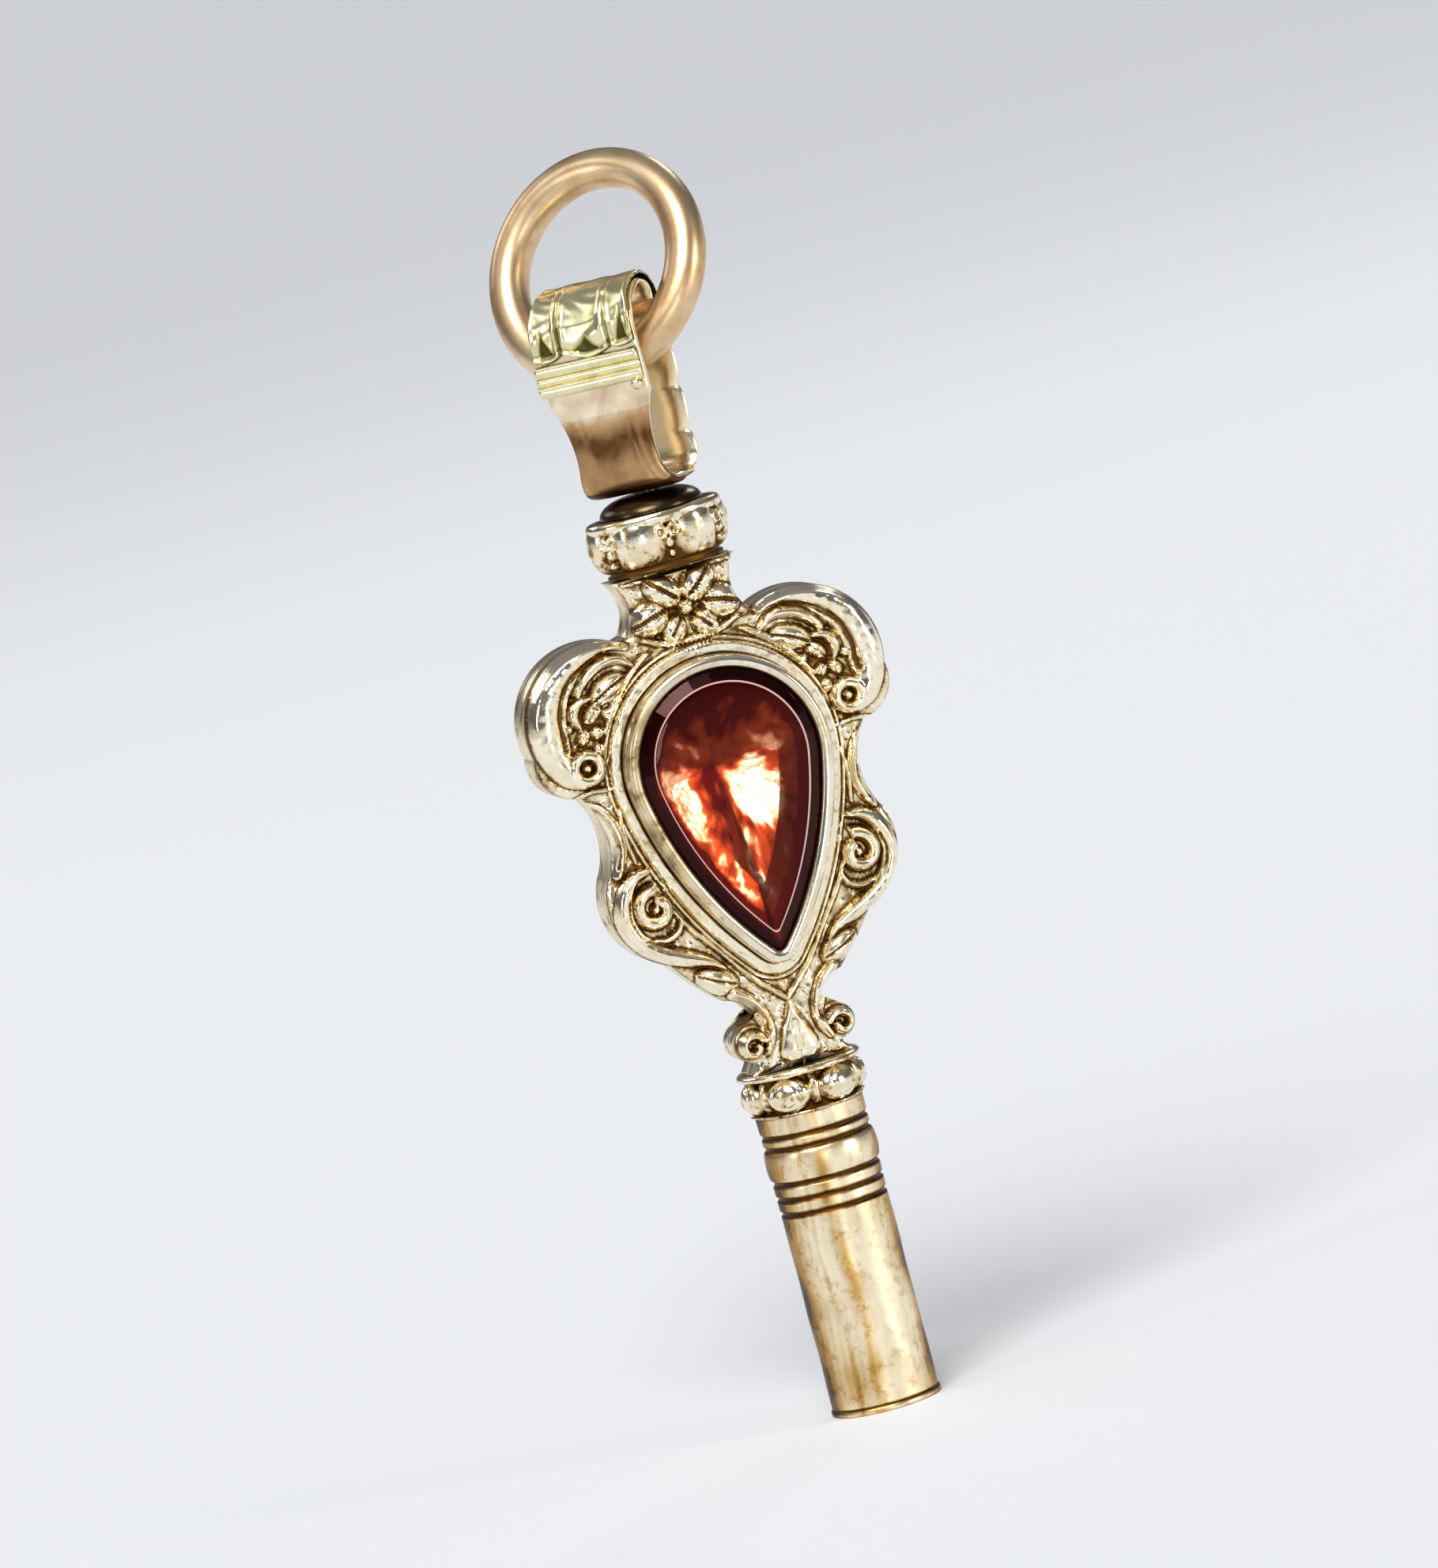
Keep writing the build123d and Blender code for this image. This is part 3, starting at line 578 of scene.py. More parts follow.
# %% Flower on the neck
def neck_flower(x, z):
    """A swag over the setting, a line under the crown, and half a flower between them: three
    grooved petals beside its bud."""
    forms = [
        band(x, z, [(0, 21.78, 0.07), (0.7, 21.82, 0.09), (1.35, 22.06, 0.07)], 0.3),
        dome(x, z, (0.0, 22.66), (0.22, 0.2), 0.6),
        band(x, z, [(0, 23.66, 0.07), (1.5, 23.66, 0.07)], 0.24),
    ]
    # Each petal: middle, half lengths, height, turn, its groove's points, half width and depth
    for middle, half, tall, turn, line, width, depth in (
            ((0.5, 23.24), (0.6, 0.44), 0.56, 48, [(0.2, 22.98), (0.55, 23.3), (0.82, 23.55)],
             0.07, 0.2),
            ((1.02, 22.58), (0.56, 0.48), 0.58, -12, [(0.58, 22.72), (1.05, 22.62), (1.48, 22.45)],
             0.08, 0.2),
            ((0.44, 22.12), (0.44, 0.36), 0.48, -50, [(0.15, 22.45), (0.55, 22.0)], 0.06, 0.16)):
        forms.append(dome(x, z, middle, half, tall, turn) - groove(x, z, line, width, depth))
    return np.maximum.reduce(forms)


# %% Whole face
def relief(x, z):
    """Height of the struck forms over the face, for points on its right half.

    The highest form wins. The ground between them has a fine grain, sines bent by other
    sines, and the whole face has shallow dents from wear.
    """
    grain = np.sin(33 * x + 2.2 * np.sin(9 * z + 1)) * np.sin(30 * z + 2.4 * np.sin(11 * x))
    grain = grain + 0.7 * np.sin(17 * x + 12 * z + 1.5 * np.sin(7 * z))
    dents = 0.008 * np.sin(7 * x + 3 * np.sin(5 * z)) * np.sin(6 * z + 2 * np.sin(4 * x))
    parts = (shoulder_scroll, leaf_and_seeds, waist, volute, foot_forms, setting_frame,
             neck_flower)
    return np.maximum.reduce([0.018 * grain, *(form(x, z) for form in parts)]) + dents


print("relief on the scroll, the volute and the ground:",
      relief(np.array([[4.5, 3.8, 2.6]]), np.array([[20.4, 14.85, 19.6]])).round(2))

# %% [markdown]
# ## The two shells
# Each shell is gilt brass, struck, polished and then carried for years. The face is stretched
# between the seat of the stone and the outline: one parameter runs round the outline, the
# other from the inner line out to the edge, over a rounded corner and down the side to the
# seam, where each shell has a thin lip. Behind it the wall is hollow. One sheet of points does
# it all, so the relief bends over the edge with no seam in the mesh.

# %% Finish of the shells
# Gilt brass, struck in a die: crests rubbed nearly white and mirror-bright, hollows brown with
# old polish. To the eye it is hard sparkle over dark lines.
stamped_gilt = worn_metal(
    "gilt_brass_stamped_tarnished", "#FFF5DC", "#EBD7AB", "#6A4A20", smooth=0.1, rough=0.42,
    cloud=1.1, cloud_share=0.32, speck_share=0.3)


# %% Tarnish in the hollows
def hollows_of(height):
    """Share of tarnish for a relief: its blur less itself, so high where its sides tower.

    The narrow blur finds creases, the wide one finds whole hollows, and the ground's grain
    gives a little more in its own small pits.
    """
    blur = height.copy()
    for shift in (1, 2, 3):
        for axis in (0, 1):
            blur = (2 * blur + np.roll(blur, shift, axis) + np.roll(blur, -shift, axis)) / 4
        if shift == 1:
            crease = np.clip((blur - height - 0.004) / 0.014, 0, 1)
    hollow = np.clip((blur - height) / 0.06, 0, 1)
    ground = np.clip(1 - height / 0.16, 0, 1)
    return 0.65 * crease + 0.52 * hollow + ground * (-7 * np.clip(height, -0.03, 0.03))


# %% Shell surface
edge_round, face_rows, shell_back, far_off = 0.2, 66, 0.6, 9.0
# Rows of the side wall: in from the outline, before the seam, share of tarnish
wall_rows = [(0.0, rim - edge_round - 0.05, 0.1), (0.035, 0.55, 0.3), (0.04, 0.3, 0.35),
             (0.035, 0.2, 0.3), (0.0, 0.15, 0.05), (0.0, 0.05, 0.05), (0.04, 0.01, 0.9),
             (0.25, 0.01, 1.0), (0.25, shell_back, 1.0)]


def half_shell():
    """Right half of a shell as rows of (x, distance before the seam, z), and its recess.

    The rows stand closer near both lines, by a mean of an even and a cosine spacing. The
    corner is a quarter circle in the distance from the outline.
    """
    even = np.linspace(0, 1, face_rows)
    spread = 0.5 * (1 - np.cos(np.linspace(0, math.pi, face_rows))) / 2 + 0.5 * even
    flat = inner_line[None] + (outer_line - inner_line)[None] * spread[:, None, None]
    x, z = flat[..., 0], flat[..., 1]
    off = nearest_distance(flat.reshape(-1, 2), outer_line).reshape(x.shape)
    # The halves meet on the middle line, where nothing is rounded, but the top edge is
    off[:, [0, -1]] = far_off
    off = np.where(np.abs(z - body_top) < 0.001, 0, off)
    height = relief(x, z)
    short = np.clip(edge_round - off, 0, None)
    corner = edge_round - np.sqrt(np.clip(edge_round ** 2 - short ** 2, 0, None))
    depth = rim - corner + height * np.clip(off / edge_round, 0, 1)
    face = np.stack([x, depth, z], -1)
    inwards = inner_line - outer_line
    inwards = inwards / np.maximum(np.hypot(*inwards.T), 0.3)[:, None]
    wall = []
    for inset, before, _ in wall_rows:
        line = outer_line + inwards * inset
        wall.append(np.stack([line[:, 0], np.full(len(line), before), line[:, 1]], -1))
    middle = np.stack([inner_line[:, 0], np.full(len(inner_line), shell_back),
                       inner_line[:, 1]], -1)
    grid = np.concatenate([face, np.array(wall), middle[None]])
    wall_recess = np.array([*(share for _, _, share in wall_rows), 1.0])
    tarnish_and_painted_light = [hollows_of(height), np.tile(wall_recess[:, None], (1, x.shape[1]))]
    return grid, np.concatenate(tarnish_and_painted_light)


half, half_recess = half_shell()
mirrored = half[:, ::-1] * (-1, 1, 1)
shell = np.concatenate([half, mirrored], 1)
shell_recess = np.concatenate([half_recess, half_recess[:, ::-1]], 1)
# The last row's quads are the inner wall round the stone, and are left out on the middle line
on_spine = shell[0, :, 0] == 0
spine_pair = on_spine & np.roll(on_spine, -1)
kept_quads = np.ones(shell.shape[:2], bool)
kept_quads[-1, spine_pair] = False
for facing, name in ((-1, "front_shell"), (1, "back_shell")):
    add_piece(name + "_stamped", shell * (1, facing, 1), "key", [name], stamped_gilt,
              wrap=(True, True), keep=kept_quads, colours={"tarnish_and_painted_light": shell_recess})

# %% [markdown]
# ## The setting
# The stone is held in a closed collet: a wall of gold round it, rubbed over its edge with a
# burnisher into a rounded rim. A bevelled curve would give the form too, but not the tarnish
# along it, so the wall's profile is carried round the pear, which is drawn larger or smaller
# by the profile's first number, and its share of tarnish goes with each point.

# %% Finish of the setting
# Gilt metal rubbed bright by the burnisher: the plainest mirror on the key, with few clouds,
# and brown only where the rim meets stone and ground.
rubbed_gilt = worn_metal(
    "gilt_setting_rubbed", "#FBF3E0", "#D8C49C", "#6B4A26", smooth=0.1, cloud=1.2,
    cloud_share=0.3, speck_share=0.2)


# %% Setting of the stone
def pear_ring(inset, before, *counts):
    """The whole pear, smaller all round by the inset, at a distance before the seam."""
    line = pear_line(inset, *counts)
    line = np.concatenate([line, line[-2:0:-1] * (-1, 1)])
    return np.stack([line[:, 0], np.full(len(line), before), line[:, 1]], -1)


# Wall of the setting: outwards from the stone, before the seam, share of tarnish
collet_profile = [
    (0.25, 0.88, 0.45), (0.25, 1.6, 0.1), (0.245, 1.74, 0.05), (0.22, 1.84, 0.05),
    (0.17, 1.91, 0.0), (0.1, 1.94, 0.0), (0.02, 1.935, 0.05), (-0.06, 1.9, 0.15),
    (-0.12, 1.84, 0.5), (-0.115, 1.82, 0.9), (0.0, 1.8, 1.0), (0.015, 1.7, 1.0),
    (0.015, 0.88, 1.0)]
collet = np.array([pear_ring(-outwards, before) for outwards, before, _ in collet_profile])
collet_recess = np.array([share for _, _, share in collet_profile])[:, None]
# More tarnish on the left of the rim than on its right, varying in waves along it
left_share = np.clip(-collet[..., 0] / 2.4, 0, 1) * (0.75 + 0.25 * np.sin(6 * collet[..., 2]))
collet_recess = np.clip(collet_recess + 0.52 * left_share, 0, 1)
for facing, name in ((-1, "front_bezel"), (1, "back_bezel")):
    add_piece(name + "_rubbed", collet * (1, facing, 1), "key", [name], rubbed_gilt,
              wrap=(True, True), colours={"tarnish_and_painted_light": collet_recess})

# %% [markdown]
# ## Stone and foil
# The stone is red paste, which is lead glass, cut flat on top with a bevel round it. Such
# stones are thin and would look black in a closed setting, so a cup of lacquered copper foil
# lies behind and throws warm light back up. That is why the stone here is clear glass with
# only a tint, and the foil has the colour: the glow then moves with the light as a real one
# does. The foil also carries painted highlights and painted shade where the stone's bright
# patches and dark parts lie. Bevel, back and foil are flat cuts, so these faces are left
# unsmoothed.

# %% Glass of the stone
# Lead glass, ground and polished: a clear dark red that mirrors boxes and floor faintly. The
# tint on its mirroring keeps the pale floor from laying a grey veil over the red.
red_paste = bpy.data.materials.new("garnet_paste_polished")
red_paste.use_nodes = True
glass = red_paste.node_tree.nodes["Principled BSDF"].inputs
glass["Base Color"].default_value = linear("#F3C4B0")
glass["Transmission Weight"].default_value = 1.0
glass["Roughness"].default_value = 0.01
glass["IOR"].default_value = 1.5
glass["Specular Tint"].default_value = linear("#C08A84")

# The table's edge is a strip of the same glass made matt and pale, so that it shows as a fine
# pale line from every side: a painted highlight along the edge
edge_painted_highlight = bpy.data.materials.new("garnet_paste_edge_painted_highlight")
edge_painted_highlight.use_nodes = True
edge_highlight_inputs = edge_painted_highlight.node_tree.nodes["Principled BSDF"].inputs
edge_highlight_inputs["Base Color"].default_value = linear("#F0C4BA")
edge_highlight_inputs["Transmission Weight"].default_value = 0.35
edge_highlight_inputs["Roughness"].default_value = 0.6
edge_highlight_inputs["IOR"].default_value = 1.56
print("stone's IOR", glass["IOR"].default_value, "edge roughness",
      round(edge_highlight_inputs["Roughness"].default_value, 2))

# %% Finish of the foil
# Copper leaf under red lacquer: pale as a coin in painted highlights, deep red where the
# lacquer lies thick, and darker in painted shade, so the stone shows fire and embers. Its dents
# are broad, from being pressed in.
copper_foil = worn_metal(
    "red_lacquered_copper_foil", "#FFE0BC", "#92401E", "#4A0808", smooth=0.08, rough=0.3,
    cloud=0.6, cloud_share=0.3, pit=0.3, pit_depth=0.012)

# %% Levels of stone and foil
foil_back, stone_back, girdle_back, girdle_front = 1.05, 1.09, 1.64, 1.72
# The culet is the low point of a cut stone's back, a little off the middle here
culet, culet_level = (-0.4, 18.3), 1.08
bevel_inset, table_level, table_swell, table_half, middle_inset = 0.5, 2.02, 0.11, 2.12, 2.6
# Corners of a cut pear: round its head, down each side, and at its tip
facet_counts = (8, 5, 3)


def table_rise(inset):
    """The table's slight swell: its level at the edge, plus a parabola that tops in the middle."""
    off_middle = (table_half - (inset - bevel_inset)) / table_half
    return table_level + table_swell * (1 - off_middle ** 2)


def cut_rows(levels, first, last=None):
    """Rows of cut facets: one point, rings from (inset, before the seam) pairs, one point.

    With no last point given, the grid closes in the middle of its last ring.
    """
    rings = [pear_ring(inset, before, *facet_counts) for inset, before in levels]
    last = rings[-1].mean(0) if last is None else last
    ends = [np.tile(np.array(point), (len(rings[0]), 1)) for point in (first, last)]
    return np.array([ends[0], *rings, ends[1]])


print("table from", table_rise(bevel_inset), "to", round(table_rise(middle_inset), 3), "mm")

# %% Stone and the painted highlight along its edge
back_levels = [(1.25, stone_back + 0.18), (0.5, stone_back + 0.34), (0.0, girdle_back)]
bevel_levels = [(0.0, girdle_front), (0.44, 1.99), (bevel_inset, 2.018)]
crest_levels = [(inset, table_rise(inset)) for inset in (0.52, 0.62, 0.8, 1.05, 1.4, 1.8, 2.2)]
stone = cut_rows([*back_levels, *bevel_levels, *crest_levels],
                 (culet[0], culet_level, culet[1]), (0.0, table_rise(middle_inset), stone_centre))
table_edge_painted_highlight = np.array([pear_ring(inset, before) for inset, before in (
    (0.455, 1.985), (0.46, 2.004), (0.475, 2.022), (0.495, 2.03), (0.515, 2.028),
    (0.525, 2.0), (0.49, 1.975))])
# The strip of painted highlight is wider on its right, where the highlight is brighter, than
# on its left and at the tip
edge_middle, turn_height = table_edge_painted_highlight.mean(0), 17.6
edge_turn = np.arctan2(edge_middle[:, 2] - turn_height, edge_middle[:, 0])
edge_highlight_width = (0.66 + 0.24 * np.cos(edge_turn - 0.3))[None, :, None]
table_edge_painted_highlight = edge_middle + (0, 0.004, 0) + (table_edge_painted_highlight - edge_middle) * edge_highlight_width
print("stone", np.ptp(stone.reshape(-1, 3), 0).round(2), "mm, edge from",
      edge_highlight_width.min().round(2), "to", edge_highlight_width.max().round(2), "of its full width")


# %% Finer grid
def finer(rows, between):
    """More rows and columns along the straight lines of a closed grid, so facets stay flat."""
    closed = np.concatenate([rows, rows[:, :1]], 1)
    i = np.linspace(0, len(rows) - 1, (len(rows) - 1) * between + 1)
    j = np.linspace(0, rows.shape[1], rows.shape[1] * between + 1)[:-1]
    a, b = np.minimum(i.astype(int), len(rows) - 2), j.astype(int)
    part = closed[a] + (closed[a + 1] - closed[a]) * (i - a)[:, None, None]
    return part[:, b] + (part[:, b + 1] - part[:, b]) * (j - b)[None, :, None]


# %% Foil cup
# Steps from one ring or corner to the next, and the number of the ring at the cup's rim
foil_between, foil_rim_ring = 8, 3
foil = cut_rows([(1.25, stone_back + 0.2), (0.5, stone_back + 0.36), (0.1, girdle_back - 0.03),
                 (0.12, girdle_back - 0.09), (0.7, stone_back + 0.15), (1.4, foil_back)],
                (culet[0], 1.1, culet[1]))
foil = finer(foil, foil_between)
print("foil", foil.shape[0], "rows of", foil.shape[1], "points")

# Painted highlights (less tarnish) and painted shade (more tarnish) in the lacquer: place,
# half widths, turn in degrees, change of tarnish
foil_painted_light_marks = [
    ((0.58, 17.4), (0.74, 1.05), 8, -0.8), ((-1.58, 17.7), (0.46, 1.2), 24, -0.85),
    ((-0.55, 17.8), (0.3, 0.9), 4, 0.4), ((0, 20.1), (2.6, 1.1), 0, 0.45),
    ((0.05, 13.5), (0.9, 0.9), 0, 0.4), ((-0.08, 16.0), (0.09, 0.8), -8, -0.5),
    ((-0.5, 15.3), (0.1, 0.6), 0, -0.45), ((0.1, 14.8), (0.14, 0.5), 28, -0.4),
    ((-1.2, 15.9), (0.4, 1.0), 18, -0.1), ((1.3, 18.6), (0.7, 0.3), 0, -0.2),
]
stone_line = pear_line(0.0)
whole_stone_line = np.concatenate([stone_line, stone_line * (-1, 1)])


def foil_lacquer_and_painted_light(points):
    """Lacquer depth: painted highlights and shade over an even red, a rim dark with oxide and
    painted shade.
    """
    x, z = points[..., 0], points[..., 2]
    share = 0.5 + 0.22 * np.sin(5 * x + 2 * np.sin(3 * z)) * np.sin(4 * z + 2 * x) \
        + 0.15 * np.sin(14 * x + 3 * np.sin(5 * z)) * np.sin(9 * z - 4 * x)
    for middle, half_widths, turn, change in foil_painted_light_marks:
        share = share + change * dome(x, z, middle, half_widths, 1.0, turn)
    flat_places = np.stack([x.ravel(), z.ravel()], 1)
    rim_gap = nearest_distance(flat_places, whole_stone_line).reshape(x.shape)
    # The rim is dark, partly from oxide and partly as painted shade under the bevel
    return np.clip(share + np.clip((0.8 - rim_gap) / 0.2, 0, 1), 0, 1)


foil_lacquer_and_painted_light_level = foil_lacquer_and_painted_light(foil)
# The outside of the cup faces away from the stone and is painted fully dark, as painted shade
foil_lacquer_and_painted_light_level[foil_rim_ring * foil_between + 1:] = 1.0


# %% Stones and foils in place
def cut_faces(middles):
    """The stone's flat cuts: all of its faces but those of the slightly domed table."""
    return np.abs(middles[:, 1]) < 2.017


def all_faces(middles):
    """Every face of the foil, as it was pressed over flat cuts."""
    return np.ones(len(middles), bool)


for facing, name in ((-1, "front"), (1, "back")):
    add_piece(name + "_stone_cut", stone * (1, facing, 1), "key", [name + "_stone"],
              red_paste, flat=cut_faces)
    add_piece(name + "_foil_cup", foil * (1, facing, 1), "key", [name + "_foil"],
              copper_foil, colours={"tarnish_and_painted_light": foil_lacquer_and_painted_light_level}, flat=all_faces)
    add_piece(name + "_stone_edge_painted_highlight", table_edge_painted_highlight * (1, facing, 1), "key", [],
              edge_painted_highlight, wrap=(True, True))

# %% [markdown]
# ## Turned pieces
# The pipe, the washer and the rivet were made on a lathe. A profile of radius and height is
# turned about the key's axis, which is what Blender's Spin does, but as a function of angle
# and height it can also swell: the pipe gets its small dents that way, and collar and crown
# get their lobes.


# %% Turning
def turned(profile, count=96, oval=1.0, swell=None):
    """A profile of (radius, height) points turned about the axis.

    The swell is a function of angle and height that is added to each radius.
    """
    p = np.array(profile, float)
    a = np.linspace(0, 2 * math.pi, count, endpoint=False)[None]
    radius = np.tile(p[:, :1], (1, count))
    if swell is not None:
        radius = radius + np.where(radius > 0, swell(a, p[:, 1:]), 0)
    z = np.tile(p[:, 1:], (1, count))
    return np.stack([radius * np.cos(a), oval * radius * np.sin(a), z], -1)


def grooved(height, marks, half, depth):
    """How far a turned groove cuts in at each height, round across."""
    cut = np.zeros_like(height)
    for mark in marks:
        cut = np.maximum(cut, depth * round_top((height - mark) / half))
    return cut


print("a groove 0.06 mm deep, a third of its half width off its middle:",
      grooved(np.array([0.1]), [0.0], 0.3, 0.06).round(3), "mm")

# %% [markdown]
# ## Pipe
# The pipe is a turned tube with a lip at its mouth, five grooves and a rounded band. Fingers
# hold a key here and wipe it lengthwise, so its tarnish lies in streaks along it. Three of the
# streaks are painted light: painted shade down its two sides and a painted dark reflection down
# its front.

# %% Finish of the pipe
# Rolled gold tube, turned and polished: a warm yellow metal, softer in its shine than the
# struck parts from fine wiping scratches, and orange-brown in its streaks of wear and of
# painted shade.
tube_gilt = worn_metal(
    "rolled_gold_tube_polished", "#FFF3D2", "#C89F5C", "#4E3217", smooth=0.3, rough=0.44,
    cloud=1.6, cloud_share=0.22, speck_share=0.16)

# %% Profile of the pipe
pipe_length, pipe_radius, pipe_bore, pipe_columns = 8.5, 1.5, 1.27, 160
groove_heights = [5.78, 6.2, 6.63, 7.61, 7.95]
pipe_height = np.linspace(0.24, pipe_length, 240)
band_swell = 0.07 * round_top((pipe_height - 7.12) / 0.4)
pipe_side = pipe_radius + band_swell - grooved(pipe_height, groove_heights, 0.075, 0.06)
# Bore and lip at the mouth: radius, height, share of tarnish
mouth = np.array([
    (pipe_bore, pipe_length, 1.0), (pipe_bore, 0.0, 0.9), (1.48, 0.0, 0.2), (1.53, 0.02, 0.1),
    (1.55, 0.07, 0.05), (1.54, 0.14, 0.3), (1.5, 0.17, 0.9), (1.485, 0.19, 1.0),
    (1.5, 0.22, 0.5)])
pipe_profile = np.concatenate([
    mouth[:, :2], np.stack([pipe_side, pipe_height], 1),
    [(1.49, pipe_length), (pipe_bore, pipe_length)]])
pipe_recess = np.concatenate([
    mouth[:, 2], grooved(pipe_height, groove_heights, 0.1, 0.9), [1, 1]])


# %% Dents of the pipe, and its streaks of wear and painted shade
def pipe_dents(angle, height):
    """Slight flats and dents of wear, a few hundredths of a millimetre deep."""
    return 0.012 * np.sin(angle * 2 + 1.3 * height) * np.sin(1.9 * height + 1) \
        + 0.006 * np.sin(angle * 7 + 2.1 * height)


# Streaks along the pipe, of wear and of painted light: those at -88 and 68 degrees are painted
# shade down its sides, the one at -14 a painted dark reflection down its front. Columns:
# degrees from the front, half width in degrees, share of tarnish
pipe_streaks_and_painted_shade = ((-14, 8, 0.42), (-88, 23, 1.0), (68, 17, 0.8), (-38, 3, 0.15), (118, 12, 0.35),
                (168, 8, 0.4), (-138, 11, 0.35))


def pipe_wear_and_painted_shade(angle, height):
    """Share of tarnish and painted shade on the pipe: streaks that sway a little along it, and a
    patch.
    """
    from_front = np.degrees(np.arctan2(np.cos(angle), -np.sin(angle)))
    share = np.zeros(np.broadcast(from_front, height).shape)
    for middle, half_width, depth in pipe_streaks_and_painted_shade:
        sway = middle + 3 * np.sin(1.1 * height + middle)
        off = np.mod(from_front - sway + 180, 360) - 180
        share = share + depth * np.exp(-(off / half_width) ** 2) * (
            0.8 + 0.2 * np.sin(2.3 * height + middle))
    share = share + 0.04 * np.sin(37 * angle + 2 * np.sin(1.7 * height)) * np.sin(0.9 * height)
    patch = np.exp(-((from_front + 38) / 15) ** 2 - ((height - 1.1) / 0.9) ** 2)
    return np.clip(share + 0.35 * patch, 0, 0.9)


# %% Pipe
pipe = turned(pipe_profile, pipe_columns, swell=pipe_dents)
pipe_angles = np.linspace(0, 2 * math.pi, pipe_columns, endpoint=False)[None]
outside = pipe_profile[:, :1] > 1.4
pipe_tarnish_and_painted_shade = np.clip(
    pipe_recess[:, None] + pipe_wear_and_painted_shade(pipe_angles, pipe_profile[:, 1:]) * outside, 0, 1)
add_piece("pipe_tube", pipe, "key", ["pipe_casing"], tube_gilt,
          colours={"tarnish_and_painted_light": pipe_tarnish_and_painted_shade})

# %% [markdown]
# ## Lobed collar
# Between body and pipe sits a ring of six eggs under a thin plate. A ring of copied spheres
# would show where they cross, so the eggs are one swelling of a turned profile, with a thin
# dart standing in each cleft.

# %% Finish of the lobed rings
# Gilt brass as it came from the mould, under thin gilding: brighter than the tube but freckled
# with pits and dark specks that no polish has reached.
pitted_gilt = worn_metal(
    "gilt_brass_cast_pitted", "#FFF5DC", "#E2CA98", "#5C3E1A", smooth=0.1, rough=0.42,
    cloud=0.8, cloud_share=0.35, pit=0.14, pit_depth=0.012, speck_share=0.62)
bud_count, lobed_bore = 6, 1.27


# %% Lobed collar
def from_cleft(angle):
    """Distance from the nearest cleft in bud widths, from -0.5 to 0.5; one cleft faces front."""
    turn = (angle + math.pi / 2) / (2 * math.pi / bud_count)
    return np.mod(turn + 0.5, 1) - 0.5


def bulge(height, low, high):
    """Round swelling between two heights."""
    return round_top((height - (low + high) / 2) / ((high - low) / 2))


def collar_swell(angle, height):
    """Six eggs on the collar, from just over its foot to its plate, with darts between."""
    cleft = from_cleft(angle)
    from_bud = 0.5 - np.abs(cleft)
    dart = 0.3 * round_top(cleft / 0.1) * bulge(height, 8.66, 9.56)
    egg = 0.46 * round_top(np.hypot(from_bud / 0.45, (height - 9.06) / 0.5))
    line = 0.05 * round_top((np.hypot(from_bud * 1.7, height - 9.1) - 0.36) / 0.05)
    return np.maximum(egg - line, dart)


collar_foot, collar_plate, collar_top = 8.5, 9.56, 9.75
collar_heights = np.linspace(collar_foot, collar_plate, 40)[1:-1]
collar_profile = np.concatenate([
    [(lobed_bore, collar_foot), (1.5, collar_foot), (1.56, 8.53), (1.52, 8.58)],
    np.stack([np.full(len(collar_heights), 1.33), collar_heights], 1),
    [(1.5, collar_plate), (1.7, 9.58), (1.75, 9.63), (1.74, 9.7), (1.68, collar_top),
     (lobed_bore, collar_top), (lobed_bore, collar_foot)]])
collar = turned(collar_profile, 256, swell=collar_swell)
collar_radius = np.hypot(collar[..., 0], collar[..., 1])
collar_recess = np.clip((1.6 - collar_radius) / 0.25, 0, 1)
add_piece("pipe_collar_lobed", collar, "key", ["pipe_collar"], pitted_gilt,
          colours={"tarnish_and_painted_light": collar_recess})

# %% [markdown]
# ## Crown
# Over the neck sits an oval cushion of six buds under a smooth brow. A pair of curls over two
# beads stands in each cleft. It is turned as the collar is, and pressed oval at the end, which
# keeps the buds even round it. Tarnish comes from the radius: what lies deep is dark.


# %% Crown
def crown_swell(angle, height):
    """Buds, curls and the brow, as a swelling of the crown's side."""
    cleft = from_cleft(angle)
    bud_round = np.abs(np.sin((angle + math.pi / 2) * bud_count / 2)) ** 0.5
    bud = 0.4 * bud_round ** 1.6 * bulge(height, 23.95, 25.5)
    brow = 0.33 * bulge(height, 25.0, 25.48)
    beside, above = np.abs(cleft) * 2.1, height - 24.62
    curls = 0.3 * round_top((np.hypot(beside - 0.2, above - 0.2) - 0.15) / 0.09)
    beads = 0.3 * round_top(np.minimum(np.hypot(beside, above + 0.12) / 0.17,
                                       np.hypot(beside, above + 0.42) / 0.13))
    foot = 0.14 * round_top(np.hypot((0.5 - np.abs(cleft)) / 0.3, (height - 24.2) / 0.2))
    forms = [bud, np.maximum(curls, beads), brow + 0.04 * foot]
    return np.minimum(np.maximum.reduce(np.broadcast_arrays(*forms)), 0.41)


crown_deep, crown_bore, crown_foot, crown_top = 0.775, 0.38, 23.76, 25.4
crown_heights = np.linspace(23.98, 25.36, 76)
crown_side = 1.5 + 0.1 * bulge(crown_heights, 23.9, 25.5)
crown_profile = np.concatenate([
    [(crown_bore, crown_foot), (1.5, crown_foot), (1.62, 23.79), (1.64, 23.86), (1.52, 23.94)],
    np.stack([crown_side, crown_heights], 1),
    [(1.5, 25.385), (1.3, crown_top), (crown_bore, crown_top), (crown_bore, crown_foot)]])
crown = turned(crown_profile, 512, crown_deep, crown_swell)
crown_radius = np.hypot(crown[..., 0], crown[..., 1] / crown_deep)
crown_recess = np.clip((1.86 - crown_radius) / 0.2, 0, 1)
add_piece("crown_lobed", crown, "key", ["crown"], pitted_gilt,
          colours={"tarnish_and_painted_light": crown_recess})

